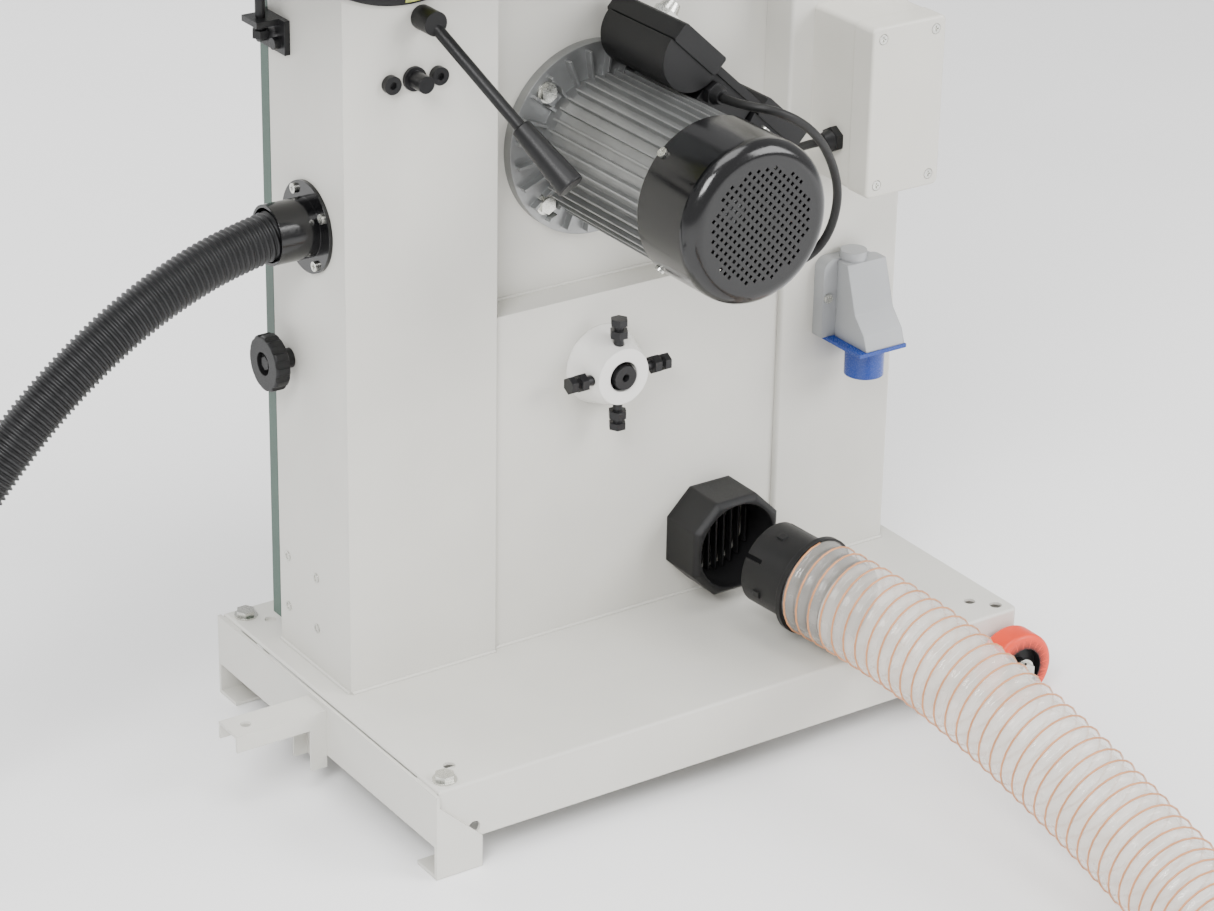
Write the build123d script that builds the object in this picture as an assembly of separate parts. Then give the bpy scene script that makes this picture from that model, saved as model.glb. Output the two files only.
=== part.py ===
from build123d import *
import math
import os

# Floor-standing cabinet bandsaw on a wheeled base, with its two dust hoses.
# Millimetres. +Z is up and the floor is z = 0. The doors face -Y, the motor faces +Y,
# the column is on the -X side and the table and blade are on the +X side.

os.makedirs("parts", exist_ok=True)

# Clearances
GAP = 0.3            # between bodies that move past each other
RUN = 0.05           # radial running clearance of a shaft in its bore
TOUCH = 0.4          # between a screw or tube and the hole that it passes through

# Base
BASE_L = 714.0
BASE_W = 430.0
BASE_TOP = 94.0
BASE_SHEET = 3.0
APRON_H = 62.0
BASE_CORNER_R = 8.0
ANCHOR_X = 322.0
ANCHOR_Y = 177.0
ANCHOR_HOLE_R = 6.0
CORNER_BOLT_X = 340.0
CORNER_BOLT_Y = 198.0
CORNER_HOLE_R = 6.5
BRACKET_SHEET = 4.0
BRACKET_GAP = 1.0
LEG_L = 52.0
FOOT_W = 36.0
HITCH_L = 101.0
HITCH_W = 38.0
HITCH_H = 18.0
HITCH_SHEET = 3.0
HITCH_TOP = 86.0
HITCH_Y = -10.0
HITCH_POST_L = 18.0
HITCH_POST_BOTTOM = 22.0
HITCH_PIN_HOLE_R = 5.5
ROLLER_R = 40.0
ROLLER_W = 30.0
ROLLER_X = -338.0
ROLLER_BOLT_R = 6.0

# Cabinet, column and upper box
CABINET_LEFT = -338.0
CABINET_RIGHT = 332.0
REAR_Y = 6.0
FRONT_Y = -135.0
SHEET = 3.0
COLUMN_W = 150.0
COLUMN_D = 88.0
COLUMN_SHEET = 4.0
LOWER_TOP = 830.0
PILLAR_W = 171.0
PANEL_RECESS = 6.0
MOTOR_RECESS = 43.0
LEDGE_Z = 462.0
RIM_W = 18.0
UPPER_BOTTOM = 1340.0
UPPER_TOP = 1868.0
DOOR_T = 16.0
DOOR_SHEET = 2.0
DOOR_GAP = 0.5
DOOR_FOOT_GAP = 12.0
DOOR_CHAMFER = 12.0
HINGE_R = 7.0
HINGE_PIN_R = 3.0
HINGE_H = 60.0
HINGE_OUT = 8.0
HINGE_INSET = 110.0
KNOB_R = 29.0
KNOB_T = 16.0
KNOB_OUT = 15.0
CATCH_IN = 24.0
KNOB_STUD_R = 4.0
KNOB_Y = -104.0
LOWER_KNOB_Z = 421.0
UPPER_KNOB_Z = 1604.0

# Blade wheels and blade
WHEEL_X = 32.0
WHEEL_Y = -105.0
WHEEL_W = 32.0
WHEEL_R = 224.0
TYRE_T = 4.0
TYRE_CROWN = 1.0
LOWER_WHEEL_Z = 384.0
BLADE_LENGTH = 3886.0
BLADE_T = 0.9
BLADE_W = 19.0
SPOKES = 6
SHAFT_R = 12.5
BEARING_R = 26.0
BEARING_W = 15.0
HUB_R = 36.0
WHEEL_PULLEY_R = 112.0
PULLEY_W = 20.0
BELT_T = 4.0
BELT_W = 14.0
HUB_BOSS_R = 43.0
HUB_BOSS_FRONT_R = 30.0
HUB_BOSS_L = 40.0
HUB_BORE_R = 16.0
HUB_BOLT_R = 5.0

# Motor
MOTOR_X = 27.0
MOTOR_Z = 617.0
MOTOR_FLANGE_R = 100.0
MOTOR_FLANGE_T = 12.0
MOTOR_BOLT_PCD = 165.0
MOTOR_BELL_L = 25.0
FLANGE_RIBS = 24
MOTOR_CORE_R = 71.0
MOTOR_FIN_R = 78.0
MOTOR_FINS = 40
MOTOR_FIN_T = 2.2
MOTOR_BODY_L = 180.0
COVER_R = 82.0
COVER_SHEET = 2.0
COVER_L = 84.0
COVER_LAP = 12.0
AIR_HOLE = 3.4
AIR_PITCH = 7.0
AIR_FIELD_R = 57.0
ROTOR_R = 40.0
MOTOR_SHAFT_R = 12.0
MOTOR_PULLEY_R = 45.0
FAN_R = 66.0
TERMINAL_TILT = 42.7
TERMINAL_LEVEL = 116.0
BARREL_R = 35.0
BARREL_LEVEL = 104.0
LID_T = 21.0
CABLE_D = 9.0

# Table and tilt
TILT_X = 261.0
TABLE_Z = 955.0
TABLE_SIZE = 485.0
TABLE_PLATE_T = 12.0
TABLE_RIB = 32.0
TABLE_RIB_T = 12.0
TABLE_HOLE_R = 30.0
TABLE_SLOT_W = 4.0
MITRE_SLOT_W = 19.0
MITRE_SLOT_D = 8.0
MITRE_SLOT_X = 130.0
TRUNNION_R = 112.0
TRUNNION_T = 16.0
CRADLE_X0 = 195.0
CRADLE_X1 = 300.0
CRADLE_TOP = 862.0
SCALE_R = 150.0
SCALE_T = 3.0
LEVER_X = 246.0
LEVER_Z = 789.0
LEVER_R = 6.0
LEVER_SPINDLE_R = 5.0
LEVER_L = 206.0
LEVER_REACH = Vector(-60, 150, -128)
GRIP_L = 74.0
GRIP_R = 14.0

# Guide post
POST_X = 291.0
POST_Y = -105.0
POST_A = 28.0
POST_LOW = 1120.0
POST_L = 520.0
GUIDE_H = 26.0
RACK_MODULE = 2.0
PINION_TEETH = 16
PINION_Z = 1430.0
PINION_W = 20.0
TOOTH_PLAY = 0.75
COLLAR_H = 52.0
COLLAR_WALL = 10.0

# Blade tension
SLIDE_W = 70.0
SLIDE_H = 80.0
SLIDE_D = 26.0
SLIDE_REAR = -2.0
TENSION_SCREW_R = 8.0
TENSION_WHEEL_R = 60.0
TENSION_WHEEL_Z = 1196.0
TENSION_NUT_T = 14.0

# Ports, boxes and hoses
SIDE_PORT_Y = -62.0
SIDE_PORT_Z = 574.0
SIDE_FLANGE_R = 46.0
SIDE_TUBE_R = 30.0
SIDE_TUBE_L = 46.0
SIDE_HOSE_D = 49.0
PORT_X = -107.0
PORT_Z = 164.0
PORT_A = 106.0
PORT_L = 54.0
PORT_MOUTH_R = 47.0
PORT_CORNER = 28.0
CLEAR_HOSE_D = 104.0
SIDE_CUFF_L = 60.0
CLEAR_CUFF_L = 70.0
CONNECTOR_R = 45.0
CONNECTOR_L = 62.0
CONNECTOR_RING_R = 53.0
CONTROL_X = -261.0
CONTROL_Z = 634.0
CONTROL_W = 90.0
CONTROL_H = 178.0
CONTROL_BODY_D = 67.0
CONTROL_LID_D = 30.0
INLET_X = -263.0
INLET_BOTTOM = 360.0
INLET_W = 66.0
INLET_H = 86.0
SWITCH_Z = 1115.0
BUTTON_TRAVEL = 3.0

# Worked out from the values above
COLUMN_RIGHT = CABINET_LEFT + COLUMN_W
COLUMN_FRONT = REAR_Y - COLUMN_D
PILLAR_LEFT = CABINET_RIGHT - PILLAR_W
PANEL_Y = REAR_Y - PANEL_RECESS
MOTOR_PANEL_Y = REAR_Y - MOTOR_RECESS
TYRE_R = WHEEL_R + TYRE_T
BLADE_R = TYRE_R + GAP
UPPER_WHEEL_Z = LOWER_WHEEL_Z + (BLADE_LENGTH - 2 * math.pi * (BLADE_R + BLADE_T / 2)) / 2
WHEEL_FRONT = WHEEL_Y - WHEEL_W / 2
WHEEL_BACK = WHEEL_Y + WHEEL_W / 2
BLADE_X = WHEEL_X + BLADE_R
PINION_R = RACK_MODULE * PINION_TEETH / 2
RACK_PITCH = math.pi * RACK_MODULE
APRON_BOTTOM = BASE_TOP - APRON_H
ROLLER_Y = BASE_W / 2 + 4.0
DOOR_REAR = FRONT_Y - DOOR_GAP
DOOR_FRONT = DOOR_REAR - DOOR_T
X_AXIS = (1, 0, 0)
Y_AXIS = (0, 1, 0)
Z_AXIS = (0, 0, 1)
FORWARD = (0, -1, 0)
DOWN = (0, 0, -1)
LEFT = (-1, 0, 0)

# Hose and cable routes, from the exit outwards
SIDE_HOSE_ROUTE = [
    (372, -62, 574), (421, -62, 565), (478, -62, 545), (535, -62, 516), (592, -62, 476), (649, -62, 425),
    (704, -62, 364), (757, -62, 294), (807, -62, 217), (863, -62, 139), (934, -56, 75), (1016, -38, 38),
    (1097, -1, 26), (1164, 59, 26), (1209, 137, 26), (1228, 226, 26), (1219, 311, 26),
]
CLEAR_HOSE_ROUTE = [
    (-130, 158, 156), (-147, 256, 149), (-157, 368, 134), (-163, 484, 110), (-165, 600, 80), (-155, 717, 58),
    (-127, 838, 53), (-71, 954, 53), (12, 1054, 53), (115, 1132, 53), (234, 1184, 53), (361, 1206, 53),
]
MOTOR_CABLE_ROUTE = [
    (-32, 105, 687), (-34, 134, 688), (-58, 160, 686), (-100, 158, 660), (-138, 142, 618), (-164, 126, 566),
    (-158, 116, 516), (-124, 110, 494), (-92, 102, 516), (-88, 90, 556), (-112, 72, 586), (-156, 55, 597),
    (-197, 49, 593),
]


def block(x0, x1, y0, y1, z0, z1):
    """Box between two opposite corners."""
    middle = Pos((x0 + x1) / 2, (y0 + y1) / 2, (z0 + z1) / 2)
    return middle * Box(abs(x1 - x0), abs(y1 - y0), abs(z1 - z0))


def rod(start, axis, radius, length):
    """Cylinder from start along axis."""
    return extrude(Plane(origin=start, z_dir=axis) * Circle(radius), length)


def ring(start, axis, outer, inner, length):
    """Tube from start along axis."""
    face = Circle(outer) - Circle(inner)
    return extrude(Plane(origin=start, z_dir=axis) * face, length)


def cone(start, axis, radius, far_radius, length):
    """Frustum from start along axis."""
    plane = Plane(origin=start, z_dir=axis)
    return loft([plane * Circle(radius), plane.offset(length) * Circle(far_radius)])


def hexagon(start, axis, across, length):
    """Hexagonal prism from start along axis."""
    plane = Plane(origin=start, z_dir=axis)
    return extrude(plane * RegularPolygon(across / 2, 6, major_radius=False), length)


def hex_bolt(seat, axis, radius, shank):
    """Bolt whose head sits on seat and points along axis."""
    back = Vector(axis) * -1
    head = hexagon(seat, axis, 3.2 * radius, 1.3 * radius)
    washer = ring(seat, axis, 2.2 * radius, radius, 0.35 * radius)
    return head + washer + rod(seat, back, radius, shank)


def screw(seat, axis, radius, shank):
    """Cross-head screw with a low round head on seat."""
    plane = Plane(origin=seat, z_dir=axis)
    head = extrude(plane * Circle(2 * radius), 1.2 * radius)
    slot = extrude(plane.offset(0.6 * radius) * Rectangle(2.4 * radius, 0.5 * radius), radius)
    cross = extrude(plane.offset(0.6 * radius) * Rectangle(0.5 * radius, 2.4 * radius), radius)
    return head - slot - cross + rod(seat, Vector(axis) * -1, radius, shank)


def corners(x, y):
    """Four points of a rectangle centred on the origin."""
    return [(sx * x, sy * y) for sx in (-1, 1) for sy in (-1, 1)]


def circle_points(radius, count, start=45.0):
    """Points on a circle, from the start angle in degrees."""
    angles = [math.radians(start + 360.0 * k / count) for k in range(count)]
    return [(radius * math.cos(a), radius * math.sin(a)) for a in angles]


def base_plate():
    """Folded sheet pan, open below and at the end that the lift bracket closes."""
    half_l = BASE_L / 2
    half_w = BASE_W / 2
    pan = block(-half_l, half_l, -half_w, half_w, APRON_BOTTOM, BASE_TOP)
    upright = pan.edges().filter_by(Axis.Z).group_by(Axis.X)[0]
    pan = fillet(upright, BASE_CORNER_R)
    pan = fillet(pan.faces().sort_by(Axis.Z)[-1].edges(), BASE_SHEET)
    inner = half_w - BASE_SHEET
    pan -= block(BASE_SHEET - half_l, half_l, -inner, inner, APRON_BOTTOM, BASE_TOP - BASE_SHEET)
    top = BASE_TOP - 2 * BASE_SHEET
    for x, y in corners(ANCHOR_X, ANCHOR_Y):
        pan -= rod((x, y, top), Z_AXIS, ANCHOR_HOLE_R, 3 * BASE_SHEET)
    for x, y in corners(CORNER_BOLT_X, CORNER_BOLT_Y):
        pan -= rod((x, y, top), Z_AXIS, CORNER_HOLE_R, 3 * BASE_SHEET)
    for side in (-1, 1):
        start = (ROLLER_X, side * (half_w - 2 * BASE_SHEET), ROLLER_R)
        pan -= rod(start, (0, side, 0), ROLLER_BOLT_R + TOUCH, 3 * BASE_SHEET)
        near = (BASE_L / 2 - LEG_L + 12, side * (half_w - 2 * BASE_SHEET), APRON_BOTTOM + 11)
        pan -= rod(near, (0, side, 0), CORNER_HOLE_R, 3 * BASE_SHEET)
    return pan


def lift_leg(side):
    """One wrap-round leg of the lift bracket with its foot flange."""
    x1 = BASE_L / 2 + BRACKET_GAP + BRACKET_SHEET
    x0 = x1 - LEG_L
    outer = BASE_W / 2 + BRACKET_SHEET
    outline = Polyline(
        (x0, 0), (x1, 0), (x1, BASE_TOP - 12), (x0, APRON_BOTTOM + 2), (x0, 0)
    )
    plane = Plane(origin=(0, side * outer, 0), x_dir=X_AXIS, z_dir=FORWARD)
    wall = extrude(plane * make_face(outline), side * BRACKET_SHEET)
    foot = block(x0, x1, side * outer, side * (outer - FOOT_W), 0, BRACKET_SHEET)
    tab_top = BASE_TOP - BASE_SHEET
    y_out = BASE_W / 2 - BASE_SHEET - GAP
    tab = block(x0 - 4, x1 - 1, side * y_out, side * (y_out - FOOT_W), tab_top - BRACKET_SHEET, tab_top)
    tab -= rod((CORNER_BOLT_X, side * CORNER_BOLT_Y, 0), Z_AXIS, CORNER_HOLE_R, BASE_TOP)
    return wall + foot + tab


def tow_hitch():
    """Inverted channel with a pin hole, on a short upright channel."""
    root = BASE_L / 2 + BRACKET_GAP + BRACKET_SHEET
    y0 = HITCH_Y - HITCH_W / 2
    y1 = HITCH_Y + HITCH_W / 2
    arm = block(root, root + HITCH_L, y0, y1, HITCH_TOP - HITCH_H, HITCH_TOP)
    arm -= block(
        root, root + HITCH_L, y0 + HITCH_SHEET, y1 - HITCH_SHEET, HITCH_TOP - HITCH_H, HITCH_TOP - HITCH_SHEET
    )
    arm -= rod((root + HITCH_L - 20, HITCH_Y, 0), Z_AXIS, HITCH_PIN_HOLE_R, BASE_TOP)
    post = block(root, root + HITCH_POST_L, y0, y1, HITCH_POST_BOTTOM, HITCH_TOP)
    post -= block(
        root + HITCH_SHEET, root + HITCH_POST_L, y0 + HITCH_SHEET, y1 - HITCH_SHEET,
        0, HITCH_TOP - HITCH_SHEET
    )
    return arm + post


def lift_bracket():
    """End plate with two legs and the welded tow hitch."""
    x0 = BASE_L / 2 + BRACKET_GAP
    outer = BASE_W / 2 + BRACKET_SHEET
    plate = block(x0, x0 + BRACKET_SHEET, -outer, outer, APRON_BOTTOM + 3, BASE_TOP - BASE_SHEET)
    return plate + lift_leg(-1) + lift_leg(1) + tow_hitch()


def roller(side):
    """Transport roller with a bonded tread, a dished rim and a bore."""
    y = side * (ROLLER_Y + ROLLER_W / 2)
    axis = (0, side, 0)
    start = (ROLLER_X, side * ROLLER_Y, ROLLER_R)
    body = rod(start, axis, ROLLER_R, ROLLER_W)
    body = fillet(body.edges().filter_by(GeomType.CIRCLE), 5.0)
    dish = ring((ROLLER_X, y + side * 5, ROLLER_R), axis, 24, 11, ROLLER_W)
    back = ring((ROLLER_X, y - side * 5, ROLLER_R), (0, -side, 0), 24, 11, ROLLER_W)
    bore = rod((ROLLER_X, 0, ROLLER_R), axis, ROLLER_BOLT_R + RUN, BASE_W)
    return body - dish - back - bore


def hex_bolts():
    """Base corner bolts, roller axle bolts and motor flange bolts."""
    bolts = []
    for side in (-1, 1):
        bolts.append(hex_bolt((CORNER_BOLT_X, side * CORNER_BOLT_Y, BASE_TOP), Z_AXIS, 5.5, 18))
        seat = (ROLLER_X, side * (ROLLER_Y + ROLLER_W + GAP), ROLLER_R)
        bolts.append(hex_bolt(seat, (0, side, 0), ROLLER_BOLT_R, ROLLER_W + 24))
    for x, z in circle_points(MOTOR_BOLT_PCD / 2, 4):
        seat = (MOTOR_X + x, MOTOR_PANEL_Y + MOTOR_FLANGE_T, MOTOR_Z + z)
        bolts.append(hex_bolt(seat, Y_AXIS, 5.0, MOTOR_FLANGE_T + 12))
    return bolts


def front_rim(z0, z1):
    """Flat flange round a door opening."""
    rim = block(CABINET_LEFT, CABINET_RIGHT, FRONT_Y, FRONT_Y + SHEET, z0, z1)
    return rim - block(
        CABINET_LEFT + RIM_W, CABINET_RIGHT - RIM_W, FRONT_Y - 1, FRONT_Y + SHEET + 1, z0 + RIM_W, z1 - RIM_W
    )


def blade_slots(z):
    """Slots for both blade runs through a horizontal plate, open at the front."""
    cut = block(BLADE_X - 12, BLADE_X + 12, FRONT_Y - 1, WHEEL_BACK, z - RIM_W - 2, z + RIM_W + 2)
    left = 2 * WHEEL_X - BLADE_X
    return cut + block(left - 8, left + 8, FRONT_Y + SHEET, WHEEL_BACK, z - RIM_W + 2, z + RIM_W - 2)


def lower_walls():
    """Folded sheets of the lower cabinet, before its holes."""
    z0 = BASE_TOP
    walls = block(CABINET_RIGHT - SHEET, CABINET_RIGHT, FRONT_Y, REAR_Y, z0, LOWER_TOP)
    walls += block(PILLAR_LEFT, CABINET_RIGHT, REAR_Y - SHEET, REAR_Y, z0, LOWER_TOP)
    walls += block(COLUMN_RIGHT, PILLAR_LEFT + SHEET, PANEL_Y - SHEET, PANEL_Y, z0, LEDGE_Z)
    walls += block(PILLAR_LEFT, PILLAR_LEFT + SHEET, PANEL_Y - SHEET, REAR_Y, z0, LEDGE_Z)
    step_y = MOTOR_PANEL_Y - SHEET
    walls += block(PILLAR_LEFT, PILLAR_LEFT + SHEET, step_y, REAR_Y, LEDGE_Z - SHEET, LOWER_TOP)
    walls += block(COLUMN_RIGHT, PILLAR_LEFT + SHEET, step_y, PANEL_Y, LEDGE_Z - SHEET, LEDGE_Z)
    walls += block(COLUMN_RIGHT, PILLAR_LEFT + SHEET, step_y, MOTOR_PANEL_Y, LEDGE_Z - SHEET, LOWER_TOP)
    walls += block(CABINET_LEFT, CABINET_LEFT + SHEET, FRONT_Y, COLUMN_FRONT, z0, LOWER_TOP)
    top = block(CABINET_LEFT, CABINET_RIGHT, FRONT_Y, COLUMN_FRONT, LOWER_TOP - SHEET, LOWER_TOP)
    top += block(COLUMN_RIGHT, CABINET_RIGHT, COLUMN_FRONT, MOTOR_PANEL_Y, LOWER_TOP - SHEET, LOWER_TOP)
    top += block(PILLAR_LEFT, CABINET_RIGHT, MOTOR_PANEL_Y, REAR_Y, LOWER_TOP - SHEET, LOWER_TOP)
    return walls + top + front_rim(z0, LOWER_TOP)


def lower_cabinet():
    """Lower cabinet with its motor recess and all its openings."""
    shell = lower_walls() - blade_slots(LOWER_TOP)
    shell -= rod((MOTOR_X, -80, MOTOR_Z), Y_AXIS, MOTOR_SHAFT_R + 12, 80)
    for x, z in circle_points(MOTOR_BOLT_PCD / 2, 4):
        shell -= rod((MOTOR_X + x, -80, MOTOR_Z + z), Y_AXIS, 5.0 + TOUCH, 80)
    shell -= rod((WHEEL_X, -20, LOWER_WHEEL_Z), Y_AXIS, HUB_BORE_R, 40)
    shell -= rod((PORT_X, -20, PORT_Z), Y_AXIS, PORT_MOUTH_R - 3, 40)
    shell -= rod((CABINET_RIGHT - 10, SIDE_PORT_Y, SIDE_PORT_Z), X_AXIS, SIDE_TUBE_R - 3, 20)
    shell -= rod((CABINET_RIGHT - 10, KNOB_Y, LOWER_KNOB_Z), X_AXIS, KNOB_STUD_R + TOUCH, 20)
    for y, z in circle_points(SIDE_FLANGE_R - 7, 4, 30):
        shell -= rod((CABINET_RIGHT - 10, SIDE_PORT_Y + y, SIDE_PORT_Z + z), X_AXIS, 2.5 + TOUCH, 20)
    return shell - rod((LEVER_X, -20, LEVER_Z), Y_AXIS, LEVER_SPINDLE_R + RUN, 40)


def wall_fittings():
    """Clamp stud, two button screws and four open rivet nuts in the cabinet walls."""
    stud = rod((255, REAR_Y, 730), Y_AXIS, 8.5, 24) + rod((255, REAR_Y, 730), Y_AXIS, 12, 4)
    left = rod((281, REAR_Y, 729), Y_AXIS, 9, 7)
    right = rod((229, REAR_Y, 729), Y_AXIS, 9, 7)
    socket = hexagon((281, REAR_Y + 3, 729), Y_AXIS, 7, 5)
    other = hexagon((229, REAR_Y + 3, 729), Y_AXIS, 7, 5)
    return [stud, left - socket, right - other, *rivet_nuts()]


def column():
    """Closed box column with the sheet guard of the rising blade run."""
    tube = block(CABINET_LEFT, COLUMN_RIGHT, COLUMN_FRONT, REAR_Y, BASE_TOP, UPPER_TOP)
    tube = fillet(tube.edges().filter_by(Axis.Z), COLUMN_SHEET)
    wall = COLUMN_SHEET
    tube -= block(
        CABINET_LEFT + wall, COLUMN_RIGHT - wall, COLUMN_FRONT + wall, REAR_Y - wall,
        BASE_TOP + wall, UPPER_TOP - wall
    )
    guard = block(
        COLUMN_RIGHT - 62, COLUMN_RIGHT, FRONT_Y, COLUMN_FRONT, LOWER_TOP, UPPER_BOTTOM
    )
    guard -= block(
        COLUMN_RIGHT - 62 + 2, COLUMN_RIGHT - 2, FRONT_Y + 2, COLUMN_FRONT, LOWER_TOP, UPPER_BOTTOM
    )
    return tube + guard


def upper_walls():
    """Folded sheets of the upper wheel box."""
    z0 = UPPER_BOTTOM
    z1 = UPPER_TOP
    walls = block(CABINET_RIGHT - SHEET, CABINET_RIGHT, FRONT_Y, REAR_Y, z0, z1)
    walls += block(COLUMN_RIGHT, CABINET_RIGHT, REAR_Y - SHEET, REAR_Y, z0, z1)
    walls += block(CABINET_LEFT, CABINET_LEFT + SHEET, FRONT_Y, COLUMN_FRONT, z0, z1)
    for z in (z0, z1 - SHEET):
        walls += block(CABINET_LEFT, CABINET_RIGHT, FRONT_Y, COLUMN_FRONT, z, z + SHEET)
        walls += block(COLUMN_RIGHT, CABINET_RIGHT, COLUMN_FRONT, REAR_Y, z, z + SHEET)
    return walls + front_rim(z0, z1)


def slide_rails():
    """Two L-shaped rails that hold the tension slide against the rear wall."""
    half = SLIDE_W / 2 + GAP
    front = SLIDE_REAR - SLIDE_D - GAP
    z0 = UPPER_WHEEL_Z - 90
    z1 = UPPER_WHEEL_Z + 70
    rails = None
    for side in (-1, 1):
        x_in = WHEEL_X + side * half
        rail = block(x_in, x_in + side * 10, front, REAR_Y - SHEET, z0, z1)
        rail += block(x_in - side * 10, x_in + side * 10, front - 5, front, z0, z1)
        rails = rail if rails is None else rails + rail
    return rails


def post_collar():
    """Square collar that guides the post at the floor of the upper box."""
    half = POST_A / 2 + GAP
    outer = half + COLLAR_WALL
    collar = block(
        POST_X - outer, CABINET_RIGHT - SHEET, POST_Y - outer, POST_Y + outer,
        UPPER_BOTTOM + SHEET, UPPER_BOTTOM + SHEET + COLLAR_H
    )
    return collar


def upper_wheel_box():
    """Upper wheel box with its slide rails, post collar and openings."""
    half = POST_A / 2 + GAP
    shell = upper_walls() + slide_rails() + post_collar() - blade_slots(UPPER_BOTTOM)
    shell -= block(
        POST_X - half, POST_X + half, POST_Y - half, POST_Y + half, UPPER_BOTTOM - 1, UPPER_BOTTOM + 80
    )
    shell -= rod((CABINET_RIGHT - 10, pinion_y(), PINION_Z), X_AXIS, 6.0 + RUN, 20)
    shell -= rod((WHEEL_X, screw_y(), UPPER_BOTTOM - 5), Z_AXIS, TENSION_SCREW_R + TOUCH, 15)
    return shell - rod((CABINET_RIGHT - 10, KNOB_Y, UPPER_KNOB_Z), X_AXIS, KNOB_STUD_R + TOUCH, 20)


def pinion_y():
    """Y of the pinion axis: the pitch circle touches the rack's pitch line."""
    return POST_Y + POST_A / 2 - RACK_MODULE + PINION_R


def screw_y():
    """Y of the tension screw, in the middle of the slide."""
    return SLIDE_REAR - SLIDE_D / 2


def door(z0, z1, knob_z):
    """Pan-shaped door with hinge knuckles and a catch for the knob's stud."""
    pan = block(CABINET_LEFT, CABINET_RIGHT, DOOR_FRONT, DOOR_REAR, z0, z1)
    pan = chamfer(pan.edges().filter_by(Axis.Y), DOOR_CHAMFER)
    pan -= block(
        CABINET_LEFT + DOOR_SHEET, CABINET_RIGHT - DOOR_SHEET, DOOR_FRONT + DOOR_SHEET, DOOR_REAR,
        z0 + DOOR_CHAMFER, z1 - DOOR_CHAMFER
    )
    catch_x = CABINET_RIGHT - CATCH_IN
    catch = block(catch_x, catch_x + 4, DOOR_FRONT + DOOR_SHEET, KNOB_Y + 10, knob_z - 16, knob_z + 16)
    catch -= block(catch_x - 1, catch_x + 5, KNOB_Y - 5, KNOB_Y + 11, knob_z - 5, knob_z + 5)
    pan += catch
    for z in (z0 + HINGE_INSET, z1 - HINGE_INSET):
        centre = hinge_centre()
        pan += ring((*centre, z + GAP), Z_AXIS, HINGE_R, HINGE_PIN_R + RUN, HINGE_H / 2)
        near = centre[0] + HINGE_R - 2
        pan += block(near, CABINET_LEFT + 1, DOOR_FRONT + 3, DOOR_FRONT + 6, z + GAP, z + 30)
    return pan


def hinge_centre():
    """X and Y of the door hinge axis."""
    return (CABINET_LEFT - HINGE_OUT, DOOR_FRONT + DOOR_T / 2)


def hinge_leaves():
    """Fixed lower knuckles with their pins, on straps to the cabinet side."""
    leaves = []
    x, y = hinge_centre()
    for z0, z1 in (lower_door_span(), upper_door_span()):
        for z in (z0 + HINGE_INSET, z1 - HINGE_INSET):
            leaf = rod((x, y, z - HINGE_H / 2), Z_AXIS, HINGE_R, HINGE_H / 2)
            leaf += rod((x, y, z), Z_AXIS, HINGE_PIN_R, HINGE_H / 2 - 2)
            leaf += block(CABINET_LEFT - 3, CABINET_LEFT, FRONT_Y, FRONT_Y + 40, z - HINGE_H / 2, z)
            leaf += block(x, CABINET_LEFT, FRONT_Y, FRONT_Y + 3, z - HINGE_H / 2, z)
            leaf += block(x - 3, x, y, FRONT_Y + 3, z - HINGE_H / 2, z)
            leaves.append(leaf)
    return leaves


def lower_door_span():
    """Bottom and top of the lower door."""
    return (BASE_TOP + DOOR_FOOT_GAP, LOWER_TOP)


def upper_door_span():
    """Bottom and top of the upper door."""
    return (UPPER_BOTTOM, UPPER_TOP)


def door_knob(z):
    """Fluted knob with a recessed bolt head, on a stud through the side wall."""
    x = CABINET_RIGHT + KNOB_OUT
    knob = rod((x, KNOB_Y, z), X_AXIS, KNOB_R, KNOB_T)
    knob = fillet(knob.edges().filter_by(GeomType.CIRCLE), 3.0)
    for y, dz in circle_points(KNOB_R + 2.5, 12, 15):
        knob -= rod((x - 1, KNOB_Y + y, z + dz), X_AXIS, 5.0, KNOB_T + 2)
    knob -= rod((x + KNOB_T - 6, KNOB_Y, z), X_AXIS, 12, 8)
    knob += hexagon((x + KNOB_T - 7, KNOB_Y, z), X_AXIS, 13, 5)
    knob += rod((CABINET_RIGHT + GAP, KNOB_Y, z), X_AXIS, 10, KNOB_OUT)
    start = CABINET_RIGHT - CATCH_IN - 1
    return knob + rod((start, KNOB_Y, z), X_AXIS, KNOB_STUD_R, x + 2 - start)


def wheel_casting(z):
    """Spoked wheel with a rim, hub and bearing seats."""
    rim = ring((WHEEL_X, WHEEL_FRONT, z), Y_AXIS, WHEEL_R, WHEEL_R - 16, WHEEL_W)
    hub = rod((WHEEL_X, WHEEL_FRONT, z), Y_AXIS, HUB_R, WHEEL_W)
    for k in range(SPOKES):
        spoke = block(HUB_R - 6, WHEEL_R - 8, -9, 9, -12, 12)
        hub += Pos(WHEEL_X, WHEEL_Y, z) * Rot(0, k * 360 / SPOKES, 0) * spoke
    return rim + hub


def bearing_bores(z):
    """Material taken from a wheel hub for its shaft and bearings."""
    cut = rod((WHEEL_X, WHEEL_FRONT - 1, z), Y_AXIS, BEARING_R, BEARING_W + 1)
    cut += rod((WHEEL_X, WHEEL_BACK - BEARING_W, z), Y_AXIS, BEARING_R, BEARING_W + 1)
    return cut + rod((WHEEL_X, WHEEL_FRONT - 1, z), Y_AXIS, SHAFT_R + 4, WHEEL_W + 60)


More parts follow.
